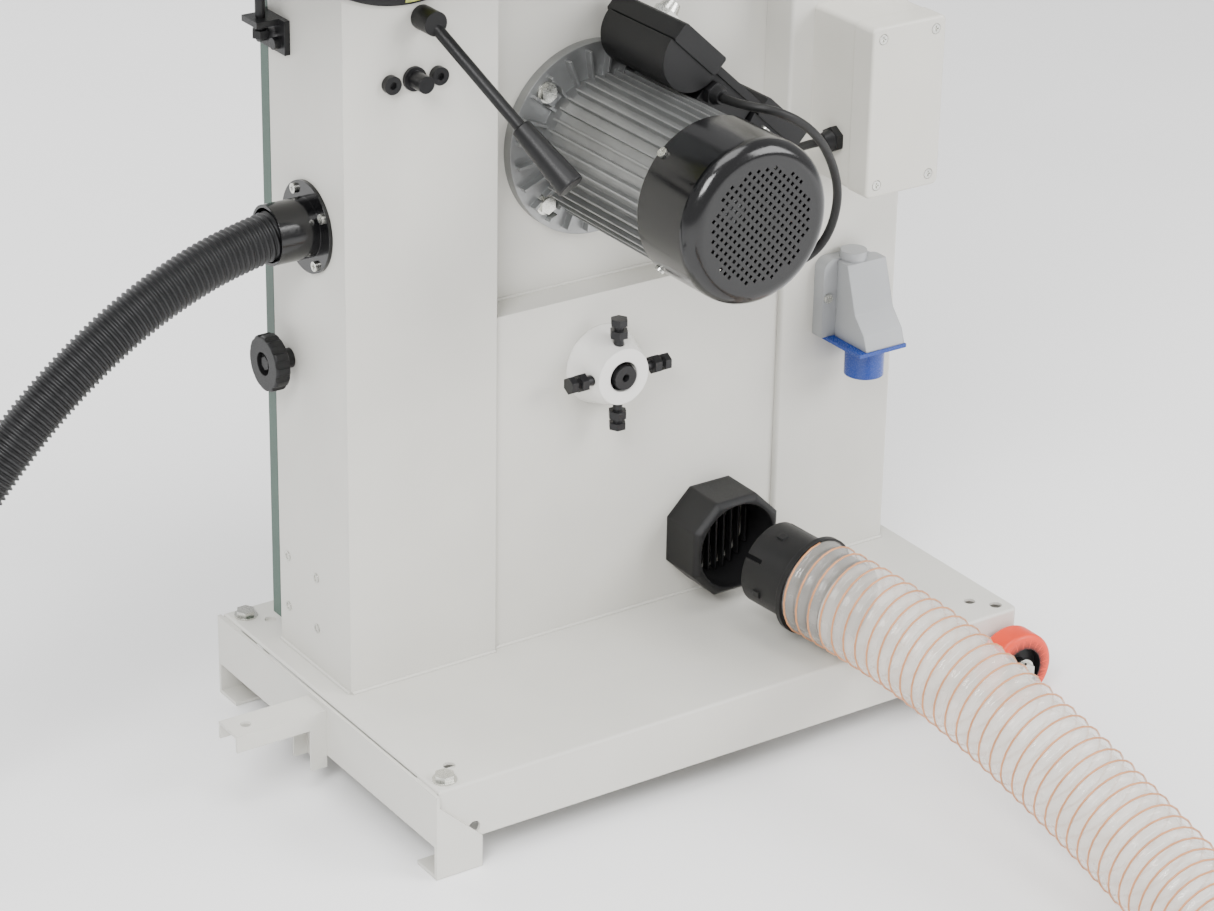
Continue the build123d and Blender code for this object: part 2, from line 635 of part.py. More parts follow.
def lower_wheel():
    """Lower wheel with the belt pulley cast on its back."""
    z = LOWER_WHEEL_Z
    wheel = wheel_casting(z)
    drum = ring((WHEEL_X, WHEEL_BACK, z), Y_AXIS, WHEEL_PULLEY_R, WHEEL_PULLEY_R - 12, PULLEY_W)
    lip = ring((WHEEL_X, WHEEL_BACK, z), Y_AXIS, WHEEL_PULLEY_R + BELT_T + 2, WHEEL_PULLEY_R - 12, 2.5)
    web = ring((WHEEL_X, WHEEL_BACK - 5, z), Y_AXIS, WHEEL_PULLEY_R - 6, HUB_R - 4, 8)
    return wheel + drum + lip + web - bearing_bores(z)


def tyre(z):
    """Crowned rubber tyre on a blade wheel."""
    y = WHEEL_W / 2
    profile = Polyline(
        (WHEEL_R, -y), (TYRE_R - TYRE_CROWN, -y), (TYRE_R, 0),
        (TYRE_R - TYRE_CROWN, y), (WHEEL_R, y), (WHEEL_R, -y)
    )
    band = revolve(Plane.XY * make_face(profile), Axis.Y)
    return Pos(WHEEL_X, WHEEL_Y, z) * band


def bearings(z):
    """Two ball bearings in a wheel hub."""
    front = ring((WHEEL_X, WHEEL_FRONT, z), Y_AXIS, BEARING_R, SHAFT_R + RUN, BEARING_W)
    back = ring((WHEEL_X, WHEEL_BACK - BEARING_W, z), Y_AXIS, BEARING_R, SHAFT_R + RUN, BEARING_W)
    return [front, back]


def lower_shaft():
    """Fixed axle of the lower wheel, with its retaining bolt and centre hole."""
    z = LOWER_WHEEL_Z
    tail = REAR_Y + HUB_BOSS_L - 2
    start = WHEEL_FRONT - 2
    shaft = rod((WHEEL_X, start, z), Y_AXIS, SHAFT_R, tail - start)
    shaft += rod((WHEEL_X, start, z), FORWARD, SHAFT_R + 5, 3)
    shaft += hexagon((WHEEL_X, start - 3, z), FORWARD, 17, 7)
    return shaft - cone((WHEEL_X, tail - 6, z), Y_AXIS, 2, 4.5, 7)


def hub_boss():
    """Tapered boss that carries the lower axle between four adjusting bolts."""
    start = (WHEEL_X, PANEL_Y, LOWER_WHEEL_Z)
    boss = cone(start, Y_AXIS, HUB_BOSS_R, HUB_BOSS_FRONT_R, HUB_BOSS_L)
    boss -= rod(start, Y_AXIS, HUB_BORE_R, HUB_BOSS_L)
    for axis in (X_AXIS, LEFT, Z_AXIS, DOWN):
        boss -= rod((WHEEL_X, PANEL_Y + 30, LOWER_WHEEL_Z), axis, HUB_BOLT_R + TOUCH, 60)
    return boss


def hub_bolts():
    """Four adjusting bolts with locknuts round the hub boss."""
    bolts = []
    centre = Vector(WHEEL_X, PANEL_Y + 30, LOWER_WHEEL_Z)
    for axis in (X_AXIS, LEFT, Z_AXIS, DOWN):
        way = Vector(axis)
        bolt = rod(centre + way * (SHAFT_R + 0.2), axis, HUB_BOLT_R, 46)
        bolt += hexagon(centre + way * 53, axis, 16, 7)
        bolt += hexagon(centre + way * 40, axis, 17, 8)
        bolts.append(bolt)
    return bolts


def belt_loop(offset, width):
    """Prism of the belt's outline, grown by offset, centred on the pulleys."""
    big = WHEEL_PULLEY_R + GAP + offset
    small = MOTOR_PULLEY_R + GAP + offset
    dx = MOTOR_X - WHEEL_X
    dz = MOTOR_Z - LOWER_WHEEL_Z
    span = math.hypot(dx, dz)
    lean = math.asin((big - small) / span)
    way = math.atan2(dz, dx)
    points = []
    arcs = ((1, (0, 0), big), (1, (dx, dz), small), (-1, (dx, dz), small), (-1, (0, 0), big))
    for side, centre, radius in arcs:
        angle = way + side * (math.pi / 2 - lean)
        points.append((centre[0] + radius * math.cos(angle), centre[1] + radius * math.sin(angle)))
    plane = Plane(origin=(WHEEL_X, WHEEL_BACK + 4 + BELT_W, LOWER_WHEEL_Z), x_dir=X_AXIS, z_dir=FORWARD)
    quad = make_face(Polyline(*points, points[0]))
    face = quad + Circle(big) + Pos(dx, dz) * Circle(small)
    return extrude(plane * face, width)


def drive_belt():
    """Flat ribbed belt round both pulleys."""
    return belt_loop(BELT_T, BELT_W) - belt_loop(0, BELT_W)


def motor_flange():
    """Ribbed end bell with the mounting flange."""
    y = MOTOR_PANEL_Y
    front = y + MOTOR_FLANGE_T
    bell = rod((MOTOR_X, y, MOTOR_Z), Y_AXIS, MOTOR_FLANGE_R, MOTOR_FLANGE_T)
    bell += cone((MOTOR_X, front, MOTOR_Z), Y_AXIS, MOTOR_CORE_R - 6, MOTOR_CORE_R, MOTOR_BELL_L)
    for k in range(FLANGE_RIBS):
        rib = block(MOTOR_CORE_R - 10, MOTOR_FLANGE_R - 5, -1.5, 1.5, 0, 9)
        turn = (k + 0.5) * 360 / FLANGE_RIBS
        bell += Pos(MOTOR_X, front, MOTOR_Z) * Rot(-90, 0, 0) * Rot(0, 0, turn) * rib
    for x, z in circle_points(MOTOR_BOLT_PCD / 2, 4):
        bell -= rod((MOTOR_X + x, front, MOTOR_Z + z), Y_AXIS, 12.5, 12)
        bell -= rod((MOTOR_X + x, y - 1, MOTOR_Z + z), Y_AXIS, 5.0 + TOUCH, 20)
    return bell - rod((MOTOR_X, y - 1, MOTOR_Z), Y_AXIS, MOTOR_SHAFT_R + RUN, 60)


def motor_housing():
    """Finned aluminium stator housing, open inside for the rotor."""
    y = housing_start()
    body = rod((MOTOR_X, y, MOTOR_Z), Y_AXIS, MOTOR_CORE_R, MOTOR_BODY_L)
    place = Pos(MOTOR_X, y, MOTOR_Z) * Rot(-90, 0, 0)
    for k in range(MOTOR_FINS):
        fin = block(MOTOR_CORE_R - 2, MOTOR_FIN_R, -MOTOR_FIN_T / 2, MOTOR_FIN_T / 2, 0, MOTOR_BODY_L)
        body += place * Rot(0, 0, (k + 0.5) * 360 / MOTOR_FINS) * fin
    body -= rod((MOTOR_X, y + 15, MOTOR_Z), Y_AXIS, ROTOR_R + 1.5, MOTOR_BODY_L - 30)
    return body - rod((MOTOR_X, y - 1, MOTOR_Z), Y_AXIS, MOTOR_SHAFT_R + RUN, MOTOR_BODY_L + 2)


def housing_start():
    """Y where the stator housing begins."""
    return MOTOR_PANEL_Y + MOTOR_FLANGE_T + MOTOR_BELL_L


def housing_end():
    """Y where the fan cover takes over from the housing."""
    return housing_start() + MOTOR_BODY_L


def fan_cover():
    """Pressed cowl over the cooling fan, with a grid of air holes in its end."""
    y = housing_end() - COVER_LAP
    cup = rod((MOTOR_X, y, MOTOR_Z), Y_AXIS, COVER_R, COVER_L)
    cup = fillet(cup.faces().sort_by(Axis.Y)[-1].edges(), 16)
    cup -= rod((MOTOR_X, y, MOTOR_Z), Y_AXIS, COVER_R - COVER_SHEET, COVER_L - 16)
    cup -= rod((MOTOR_X, y, MOTOR_Z), Y_AXIS, COVER_R - 18, COVER_L - COVER_SHEET)
    for way, seat in cover_screws():
        cup -= rod(seat - way * 10, way, 2.5 + TOUCH, 20)
    reach = int(AIR_FIELD_R / AIR_PITCH)
    steps = [k * AIR_PITCH for k in range(-reach, reach + 1)]
    spots = [(x, z) for x in steps for z in steps if math.hypot(x, z) < AIR_FIELD_R]
    plane = Plane(origin=(MOTOR_X, y + COVER_L - 6, MOTOR_Z), x_dir=(1, 0, 1), z_dir=Y_AXIS)
    holes = Sketch() + [Pos(x, z) * Rectangle(AIR_HOLE, AIR_HOLE) for x, z in spots]
    return cup - extrude(plane * holes, 8)


def cover_screws():
    """Direction and seat of each fan cover screw."""
    spots = []
    for x, z in circle_points(COVER_R + 0.2, 4):
        way = Vector(x, 0, z).normalized()
        seat = Vector(MOTOR_X, housing_end() - COVER_LAP / 2, MOTOR_Z) + way * (COVER_R + 0.2)
        spots.append((way, seat))
    return spots


def rotor_shaft():
    """Motor shaft with the rotor core."""
    y = housing_start()
    reach = housing_end() + 30 - pulley_front()
    shaft = rod((MOTOR_X, pulley_front(), MOTOR_Z), Y_AXIS, MOTOR_SHAFT_R, reach)
    return shaft + rod((MOTOR_X, y + 20, MOTOR_Z), Y_AXIS, ROTOR_R, MOTOR_BODY_L - 40)


def pulley_front():
    """Y of the motor pulley's outer face."""
    return WHEEL_BACK + 1.5


def motor_pulley():
    """Small belt pulley on the motor shaft."""
    pulley = rod((MOTOR_X, pulley_front(), MOTOR_Z), Y_AXIS, MOTOR_PULLEY_R, PULLEY_W)
    return pulley - rod((MOTOR_X, pulley_front() - 1, MOTOR_Z), Y_AXIS, MOTOR_SHAFT_R, PULLEY_W + 2)


def cooling_fan():
    """Radial fan on the tail of the motor shaft."""
    y = housing_end() + 6
    fan = rod((MOTOR_X, y, MOTOR_Z), Y_AXIS, 24, 24) + rod((MOTOR_X, y, MOTOR_Z), Y_AXIS, FAN_R, 3)
    for k in range(8):
        blade = block(20, FAN_R - 2, -1.5, 1.5, 0, 24)
        fan += Pos(MOTOR_X, y, MOTOR_Z) * Rot(-90, 0, 0) * Rot(0, 0, k * 45) * blade
    return fan - rod((MOTOR_X, y - 1, MOTOR_Z), Y_AXIS, MOTOR_SHAFT_R, 26)


def on_motor(t0, t1, n0, n1, y0, y1):
    """Box in the tilted frame of the motor: along the lid, away from the motor, along Y."""
    return terminal_plane(y0).location * block(t0, t1, n0, n1, 0, y1 - y0)


def terminal_plane(y):
    """Plane across the motor at y, its first axis along the tilted lids."""
    lean = math.radians(TERMINAL_TILT)
    along = (-math.cos(lean), 0, -math.sin(lean))
    return Plane(origin=(MOTOR_X, y, MOTOR_Z), x_dir=along, z_dir=Y_AXIS)


def capacitor_cover(t):
    """Half-barrel cover with a flat overhanging lid."""
    barrel = extrude(terminal_plane(-15.5) * Pos(t, BARREL_LEVEL) * Circle(BARREL_R), 107.5)
    barrel -= on_motor(t - 40, t + 40, BARREL_LEVEL, BARREL_LEVEL + 40, -21, 93)
    lid = on_motor(t - 33, t + 33, BARREL_LEVEL, BARREL_LEVEL + LID_T, -22, 94)
    return barrel + chamfer(lid.edges().filter_by(Axis.Y), 2)


def terminal_box():
    """Terminal box on the motor with a capacitor cover on each side."""
    base = on_motor(-16, 48, MOTOR_CORE_R, TERMINAL_LEVEL - 8, -16, 88)
    base -= rod((MOTOR_X, -20, MOTOR_Z), Y_AXIS, MOTOR_FIN_R + 0.2, 120)
    cover = on_motor(-19, 53, TERMINAL_LEVEL - 8, TERMINAL_LEVEL, -20, 91)
    return base + cover + capacitor_cover(-52) + capacitor_cover(86)



def small_screws():
    """Cross-head screws of the control box lid, fan cover, side port and power inlet."""
    screws = []
    lid_y = REAR_Y + CONTROL_BODY_D + CONTROL_LID_D
    for x, z in corners(CONTROL_W / 2 - 12, CONTROL_H / 2 - 12):
        screws.append(screw((CONTROL_X + x, lid_y - 3, CONTROL_Z + z), Y_AXIS, 2.5, 20))
    for way, seat in cover_screws():
        screws.append(screw(seat, way, 2.5, 3.5))
    for y, z in circle_points(SIDE_FLANGE_R - 7, 4, 30):
        seat = (CABINET_RIGHT + 4, SIDE_PORT_Y + y, SIDE_PORT_Z + z)
        screws.append(screw(seat, X_AXIS, 2.5, 10))
    screws.append(screw((INLET_X + 27, REAR_Y + 16, INLET_BOTTOM + 44), Y_AXIS, 2.5, 12))
    return screws


def gland(seat, axis, radius):
    """Cable gland with a hexagon, a domed nut and a bore."""
    way = Vector(axis)
    body = hexagon(seat, axis, 2.4 * radius, 0.8 * radius)
    body += cone(Vector(*seat) + way * (0.8 * radius), axis, 1.1 * radius, 0.8 * radius, radius)
    return body


def cable_glands():
    """Glands of the terminal box, its lid and the control box."""
    mouth = terminal_plane(88).location * Pos(-4, 92)
    top = terminal_plane(30).location * Pos(-62, BARREL_LEVEL + LID_T)
    side = (CONTROL_X + CONTROL_W / 2, REAR_Y + 43, CONTROL_Z - 41)
    return [
        gland(mouth.position, Y_AXIS, 9),
        gland(top.position, terminal_plane(0).y_dir, 10),
        gland(side, X_AXIS, 10),
    ]


def control_box():
    """Lower half of the plastic control box."""
    y0 = REAR_Y
    body = block(
        CONTROL_X - CONTROL_W / 2, CONTROL_X + CONTROL_W / 2, y0, y0 + CONTROL_BODY_D,
        CONTROL_Z - CONTROL_H / 2, CONTROL_Z + CONTROL_H / 2
    )
    body = fillet(body.edges().filter_by(Axis.Y), 5)
    return body - block(
        CONTROL_X - CONTROL_W / 2 + 3, CONTROL_X + CONTROL_W / 2 - 3, y0 + 3, y0 + CONTROL_BODY_D,
        CONTROL_Z - CONTROL_H / 2 + 3, CONTROL_Z + CONTROL_H / 2 - 3
    )


def control_box_lid():
    """Lid of the control box with four screw wells."""
    y0 = REAR_Y + CONTROL_BODY_D
    y1 = y0 + CONTROL_LID_D
    lid = block(
        CONTROL_X - CONTROL_W / 2 - 1, CONTROL_X + CONTROL_W / 2 + 1, y0, y1,
        CONTROL_Z - CONTROL_H / 2 - 1, CONTROL_Z + CONTROL_H / 2 + 1
    )
    lid = fillet(lid.edges().filter_by(Axis.Y), 6)
    lid = fillet(lid.faces().sort_by(Axis.Y)[-1].edges(), 3)
    lid -= block(
        CONTROL_X - CONTROL_W / 2 + 22, CONTROL_X + CONTROL_W / 2 - 22, y0, y1 - 4,
        CONTROL_Z - CONTROL_H / 2 + 22, CONTROL_Z + CONTROL_H / 2 - 22
    )
    for x, z in corners(CONTROL_W / 2 - 12, CONTROL_H / 2 - 12):
        lid -= rod((CONTROL_X + x, y1 - 3, CONTROL_Z + z), Y_AXIS, 5.5, 5)
        lid -= rod((CONTROL_X + x, y0, CONTROL_Z + z), Y_AXIS, 2.5, CONTROL_LID_D)
    return lid


def inlet_housing():
    """Sloping housing of the wall power inlet, with a round cap on top."""
    half = INLET_W / 2
    top = INLET_BOTTOM + INLET_H
    back = block(INLET_X - half, INLET_X + half, REAR_Y, REAR_Y + 16, INLET_BOTTOM, top)
    back = fillet(back.edges().filter_by(Axis.Y).group_by(Axis.Z)[-1], 12)
    outline = Polyline(
        (REAR_Y + 15, INLET_BOTTOM), (REAR_Y + 72, INLET_BOTTOM), (REAR_Y + 66, INLET_BOTTOM + 16),
        (REAR_Y + 50, INLET_BOTTOM + 34), (REAR_Y + 34, top - 2), (REAR_Y + 15, top - 2),
        (REAR_Y + 15, INLET_BOTTOM)
    )
    plane = Plane(origin=(INLET_X - half, 0, 0), x_dir=Y_AXIS, z_dir=X_AXIS)
    nose = extrude(plane * make_face(outline), INLET_W - 16)
    nose = fillet(nose.edges().filter_by(Axis.Z), 5)
    cap = rod((INLET_X - 2, REAR_Y + 19, top - 8), Z_AXIS, 14, 16)
    body = back + nose + cap
    return body - rod((INLET_X + 27, REAR_Y + 3, INLET_BOTTOM + 44), Y_AXIS, 2.5 + TOUCH, 20)


def inlet_shroud():
    """Keyed shroud and flange of the power inlet, facing down, with its pins."""
    centre = (INLET_X - 8, REAR_Y + 38, INLET_BOTTOM - 4)
    half = INLET_W / 2
    flange = block(INLET_X - half - 1, INLET_X + half - 6, REAR_Y + 4, REAR_Y + 74, centre[2], INLET_BOTTOM)
    tube = ring(centre, DOWN, 21, 18, 36)
    pins = []
    for x, y in circle_points(9, 3, 90):
        pins.append(rod((centre[0] + x, centre[1] + y, centre[2]), DOWN, 2.5, 26))
    return flange + tube + pins[0] + pins[1] + pins[2]


def dust_port():
    """Square port with cut corners and a round mouth."""
    plane = Plane(origin=(PORT_X, PANEL_Y, PORT_Z), x_dir=X_AXIS, z_dir=Y_AXIS)
    outer = chamfer(Rectangle(PORT_A, PORT_A).vertices(), PORT_CORNER)
    body = extrude(plane * outer, PORT_L)
    body = chamfer(body.faces().sort_by(Axis.Y)[-1].outer_wire().edges(), 5)
    return body - rod((PORT_X, PANEL_Y - 1, PORT_Z), Y_AXIS, PORT_MOUTH_R, PORT_L + 2)


def side_port():
    """Round flanged tube on the side wall."""
    start = (CABINET_RIGHT, SIDE_PORT_Y, SIDE_PORT_Z)
    port = rod(start, X_AXIS, SIDE_FLANGE_R, 4) + rod(start, X_AXIS, SIDE_TUBE_R, SIDE_TUBE_L)
    port -= rod(start, X_AXIS, SIDE_TUBE_R - 3, SIDE_TUBE_L)
    for y, z in circle_points(SIDE_FLANGE_R - 7, 4, 30):
        port -= rod((CABINET_RIGHT - 1, SIDE_PORT_Y + y, SIDE_PORT_Z + z), X_AXIS, 2.5 + TOUCH, 8)
    return port


def tube_path(route):
    """Straight runs joined by arcs as large as the runs allow, and the smallest arc."""
    points = [Vector(*p) for p in route]
    radii = []
    for a, b, c in zip(points, points[1:], points[2:]):
        turn = math.radians((b - a).get_angle(c - b))
        radii.append(0.45 * min((b - a).length, (c - b).length) / math.tan(turn / 2))
    return FilletPolyline(*points, radius=radii), radii


def hose(name, route, diameter):
    """Closed tube along a route; its radii and its volume are printed."""
    path, radii = tube_path(route)
    start = Plane(origin=path @ 0, z_dir=path % 0)
    solid = sweep(start * Circle(diameter / 2), path=path)
    ratio = solid.volume / (math.pi * diameter ** 2 / 4 * path.length)
    print(name, "length", round(path.length, 1), "least radius", round(min(radii), 1))
    print(name, "volume ratio", round(ratio, 4))
    return solid



def hose_cuff(route, diameter, length):
    """Plain end cuff on the free end of a hose."""
    end = Vector(*route[-1])
    way = (end - Vector(*route[-2])).normalized()
    cuff = rod(end + way * GAP, way, diameter / 2, length)
    return cuff - rod(end + way * 6, way, diameter / 2 - 3, length)


def quick_connector():
    """Hose connector with a slotted skirt and a flange ring, drawn out of its port."""
    start = Vector(*CLEAR_HOSE_ROUTE[0])
    back = (start - Vector(*CLEAR_HOSE_ROUTE[1])).normalized()
    skirt = ring(start, back, CONNECTOR_R, CONNECTOR_R - 3, CONNECTOR_L)
    skirt += ring(start, back, CONNECTOR_RING_R, CONNECTOR_R - 3, 6)
    plane = Plane(origin=start + back * CONNECTOR_L, x_dir=(1, 0, 0), z_dir=back)
    for angle in (30, 120, 210, 300):
        slot = block(CONNECTOR_R - 8, CONNECTOR_R + 8, -2.5, 2.5, -20, 1)
        skirt -= plane.location * Rot(0, 0, angle) * slot
        lug = block(CONNECTOR_R - 1, CONNECTOR_R + 2, -4, 4, -26, -18)
        skirt += plane.location * Rot(0, 0, angle + 45) * lug
    return skirt


def trunnion_cradle():
    """Fixed cradle on the cabinet top that carries the table's trunnions."""
    y0 = COLUMN_FRONT + 10
    cradle = block(CRADLE_X0, CRADLE_X1, y0, REAR_Y - 6, LOWER_TOP, CRADLE_TOP)
    cut = rod((TILT_X, y0 - 1, TABLE_Z), Y_AXIS, TRUNNION_R + GAP, COLUMN_D)
    return cradle - cut


def table():
    """Ribbed cast table with a blade hole, a blade slot and a mitre slot."""
    half = TABLE_SIZE / 2
    x0 = TILT_X - half
    y0 = WHEEL_Y - half
    z_plate = TABLE_Z - TABLE_PLATE_T
    top = block(x0, x0 + TABLE_SIZE, y0, y0 + TABLE_SIZE, TABLE_Z - TABLE_RIB, TABLE_Z)
    top = fillet(top.edges().filter_by(Axis.Z), 8)
    inner = half - TABLE_RIB_T
    top -= block(TILT_X - inner, TILT_X + inner, WHEEL_Y - inner, WHEEL_Y + inner, 0, z_plate)
    top -= rod((TILT_X, WHEEL_Y, 0), Z_AXIS, TABLE_HOLE_R, TABLE_Z + 1)
    slot = TABLE_SLOT_W / 2
    top -= block(TILT_X - slot, TILT_X + slot, y0 - 1, WHEEL_Y, 0, TABLE_Z + 1)
    x = TILT_X + MITRE_SLOT_X
    return top - block(
        x - MITRE_SLOT_W / 2, x + MITRE_SLOT_W / 2, y0 - 1, y0 + TABLE_SIZE + 1,
        TABLE_Z - MITRE_SLOT_D, TABLE_Z + 1
    )


def half_disc(radius, y0, y1, z_top):
    """Disc about the tilt axis, cut off above z_top."""
    disc = rod((TILT_X, y0, TABLE_Z), Y_AXIS, radius, y1 - y0)
    return disc - block(TILT_X - radius - 1, TILT_X + radius + 1, y0 - 1, y1 + 1, z_top, TABLE_Z + radius + 1)


def table_trunnion():
    """Two trunnion discs under the table, joined by a bridge, and the tilt scale."""
    z_top = TABLE_Z - TABLE_PLATE_T
    y_front = COLUMN_FRONT + 12
    front = half_disc(TRUNNION_R, y_front, y_front + TRUNNION_T, z_top)
    back = half_disc(TRUNNION_R, REAR_Y - 8 - TRUNNION_T, REAR_Y - 8, z_top)
    bridge = block(TILT_X - 90, TILT_X + 90, y_front, REAR_Y + 5, z_top - 14, z_top)
    scale = half_disc(SCALE_R, REAR_Y + 2, REAR_Y + 2 + SCALE_T, z_top)
    return front + back + bridge + scale


def lever_way():
    """Unit direction of the tilt lock lever."""
    return LEVER_REACH.normalized()


def tilt_lock_lever():
    """Hub, rod and tapered grip of the table tilt lock."""
    hub = rod((LEVER_X, REAR_Y + GAP, LEVER_Z), Y_AXIS, 12, 26)
    hub += rod((LEVER_X, REAR_Y - 12, LEVER_Z), Y_AXIS, LEVER_SPINDLE_R, 14)
    start = Vector(LEVER_X, REAR_Y + 16, LEVER_Z)
    way = lever_way()
    arm = rod(start, way, LEVER_R, LEVER_L - GRIP_L + 6)
    grip = cone(start + way * (LEVER_L - GRIP_L), way, LEVER_R + 4, GRIP_R, GRIP_L)
    return hub + arm + fillet(grip.edges().filter_by(GeomType.CIRCLE), 2)


def tilt_stop_bracket():
    """Angle bracket with screws and a stop bolt on the cabinet side."""
    x = CABINET_RIGHT
    plate = block(x, x + 6, -142, -92, 738, 772)
    arm = block(x, x + 30, -132, -102, 766, 772)
    stop = rod((x + 18, -117, 756), Z_AXIS, 5, 36) + hexagon((x + 18, -117, 752), Z_AXIS, 15, 8)
    heads = rod((x + 6, -132, 748), X_AXIS, 6, 7) + rod((x + 6, -104, 748), X_AXIS, 6, 7)
    return plate + arm + stop + heads


def rivet_nuts():
    """Four open rivet nuts in the cabinet side."""
    nuts = []
    for y in (-118, -60):
        for z in (139, 196):
            nuts.append(ring((CABINET_RIGHT, y, z), X_AXIS, 5, 3.2, 1.2))
    return nuts


def blade():
    """Blade loop round both wheels, teeth left to the front edge."""
    inner = SlotCenterToCenter(UPPER_WHEEL_Z - LOWER_WHEEL_Z, 2 * BLADE_R, rotation=90)
    outer = SlotCenterToCenter(UPPER_WHEEL_Z - LOWER_WHEEL_Z, 2 * (BLADE_R + BLADE_T), rotation=90)
    middle = (UPPER_WHEEL_Z + LOWER_WHEEL_Z) / 2
    plane = Plane(origin=(WHEEL_X, WHEEL_Y + BLADE_W / 2, middle), x_dir=X_AXIS, z_dir=FORWARD)
    return extrude(plane * (outer - inner), BLADE_W)


def lower_guide():
    """Blade guide under the table: foot, side block and thrust roller."""
    x1 = POST_X - 8
    back = WHEEL_Y + BLADE_W / 2
    z0 = LOWER_TOP
    guide = block(BLADE_X + 4, x1, WHEEL_Y - 14, back + 20, z0, z0 + 36)
    guide += block(BLADE_X - 24, x1, back + 9, back + 20, z0 + 14, z0 + 30)
    guide += block(BLADE_X - 24, BLADE_X - 1.5, WHEEL_Y - 12, back + 10, z0 + 14, z0 + 22)
    return guide + rod((BLADE_X, back + 0.5, z0 + 22), Y_AXIS, 8, 9)


def upper_guide():
    """Blade guide on the post: bracket, side rollers and thrust roller."""
    z0 = POST_LOW - GUIDE_H
    back = WHEEL_Y + BLADE_W / 2
    half = POST_A / 2
    bracket = block(POST_X - half, POST_X + half, POST_Y - half, POST_Y + half, z0, POST_LOW)
    bracket += block(BLADE_X - 26, POST_X + half, back + 9, back + 21, z0, POST_LOW)
    bracket += block(POST_X - half, POST_X + half, POST_Y, back + 21, z0, POST_LOW)
    bracket += block(BLADE_X - 26, BLADE_X - 1.5, WHEEL_Y - 14, back + 10, z0 + 14, z0 + 24)
    bracket += rod((BLADE_X, back + 0.5, z0 + 12), Y_AXIS, 10, 9)
    bracket += rod((BLADE_X - 13, WHEEL_Y - 4, z0 + 4), Z_AXIS, 12, 11)
    return bracket + rod((BLADE_X + BLADE_T + 10, WHEEL_Y - 4, z0 + 4), Z_AXIS, 9, 10)


def tooth(tip_half, root_half, height):
    """Flat outline of one gear tooth, standing on the X axis."""
    return make_face(
        Polyline((-root_half, 0), (-tip_half, height), (tip_half, height), (root_half, 0), (-root_half, 0))
    )


def guide_post():
    """Square post with rack grooves in its rear face."""
    half = POST_A / 2
    post = block(POST_X - half, POST_X + half, POST_Y - half, POST_Y + half, POST_LOW, POST_LOW + POST_L)
    depth = 2.3 * RACK_MODULE
    groove = tooth(RACK_PITCH / 4 - 0.35, RACK_PITCH / 4 + 1.2, depth)
    first = PINION_Z - 32 * RACK_PITCH
    for k in range(50):
        corner = (POST_X - half, POST_Y + half, first + k * RACK_PITCH)
        plane = Plane(origin=corner, x_dir=Z_AXIS, z_dir=X_AXIS)
        post -= extrude(plane * groove, POST_A)
    return post


def guide_handwheel():
    """Pinion, shaft and handwheel that raise the guide post."""
    y = pinion_y()
    root = PINION_R - 1.25 * RACK_MODULE
    x0 = POST_X - PINION_W / 2
    wheel = rod((x0, y, PINION_Z), X_AXIS, root, PINION_W)
    outline = tooth(0.6, RACK_PITCH / 4 + 0.5 - TOOTH_PLAY / 2, 2.1 * RACK_MODULE)
    across = Plane(origin=(0, 0, 0), x_dir=Y_AXIS, z_dir=X_AXIS)
    gear = extrude(across * Pos(0, root - 0.3) * outline, PINION_W)
    for k in range(PINION_TEETH):
        angle = 90 + k * 360 / PINION_TEETH
        wheel += Pos(x0, y, PINION_Z) * Rot(angle, 0, 0) * gear
    wheel += rod((x0, y, PINION_Z), X_AXIS, 6, CABINET_RIGHT + 34 - x0)
    x1 = CABINET_RIGHT + 14
    wheel += ring((x1, y, PINION_Z), X_AXIS, 50, 40, 12) + rod((x1 - 4, y, PINION_Z), X_AXIS, 14, 24)
    for k in range(3):
        spoke = block(10, 44, -4, 4, 0, 8)
        wheel += Pos(x1 + 2, y, PINION_Z) * Rot(k * 120, 0, 0) * Rot(0, 90, 0) * spoke
    return wheel


def upper_shaft_carrier():
    """Tension slide with the fixed axle of the upper wheel."""
    half = SLIDE_W / 2
    z0 = UPPER_WHEEL_Z - SLIDE_H / 2
    carrier = block(
        WHEEL_X - half, WHEEL_X + half, SLIDE_REAR - SLIDE_D, SLIDE_REAR, z0, z0 + SLIDE_H
    )
    carrier += rod((WHEEL_X, WHEEL_FRONT - 2, UPPER_WHEEL_Z), Y_AXIS, SHAFT_R, SLIDE_REAR - WHEEL_FRONT)
    carrier += rod((WHEEL_X, SLIDE_REAR - SLIDE_D - 14, UPPER_WHEEL_Z), Y_AXIS, 24, 16)
    carrier += rod((WHEEL_X, WHEEL_FRONT - 2, UPPER_WHEEL_Z), FORWARD, SHAFT_R + 5, 3)
    return carrier + hexagon((WHEEL_X, WHEEL_FRONT - 5, UPPER_WHEEL_Z), FORWARD, 17, 7)


def tension_handwheel():
    """Tension screw with its handwheel below the upper box."""
    y = screw_y()
    top = UPPER_WHEEL_Z - SLIDE_H / 2 - 30
    wheel = rod((WHEEL_X, y, TENSION_WHEEL_Z), Z_AXIS, TENSION_SCREW_R, top - TENSION_WHEEL_Z)
    wheel += ring((WHEEL_X, y, TENSION_WHEEL_Z), Z_AXIS, TENSION_WHEEL_R, TENSION_WHEEL_R - 11, 14)
    wheel += rod((WHEEL_X, y, TENSION_WHEEL_Z - 2), Z_AXIS, 18, 30)
    wheel += block(WHEEL_X - 52, WHEEL_X + 52, y - 6, y + 6, TENSION_WHEEL_Z + 2, TENSION_WHEEL_Z + 12)
    return wheel + rod((WHEEL_X, y, UPPER_BOTTOM + SHEET + GAP), Z_AXIS, 16, TENSION_NUT_T)


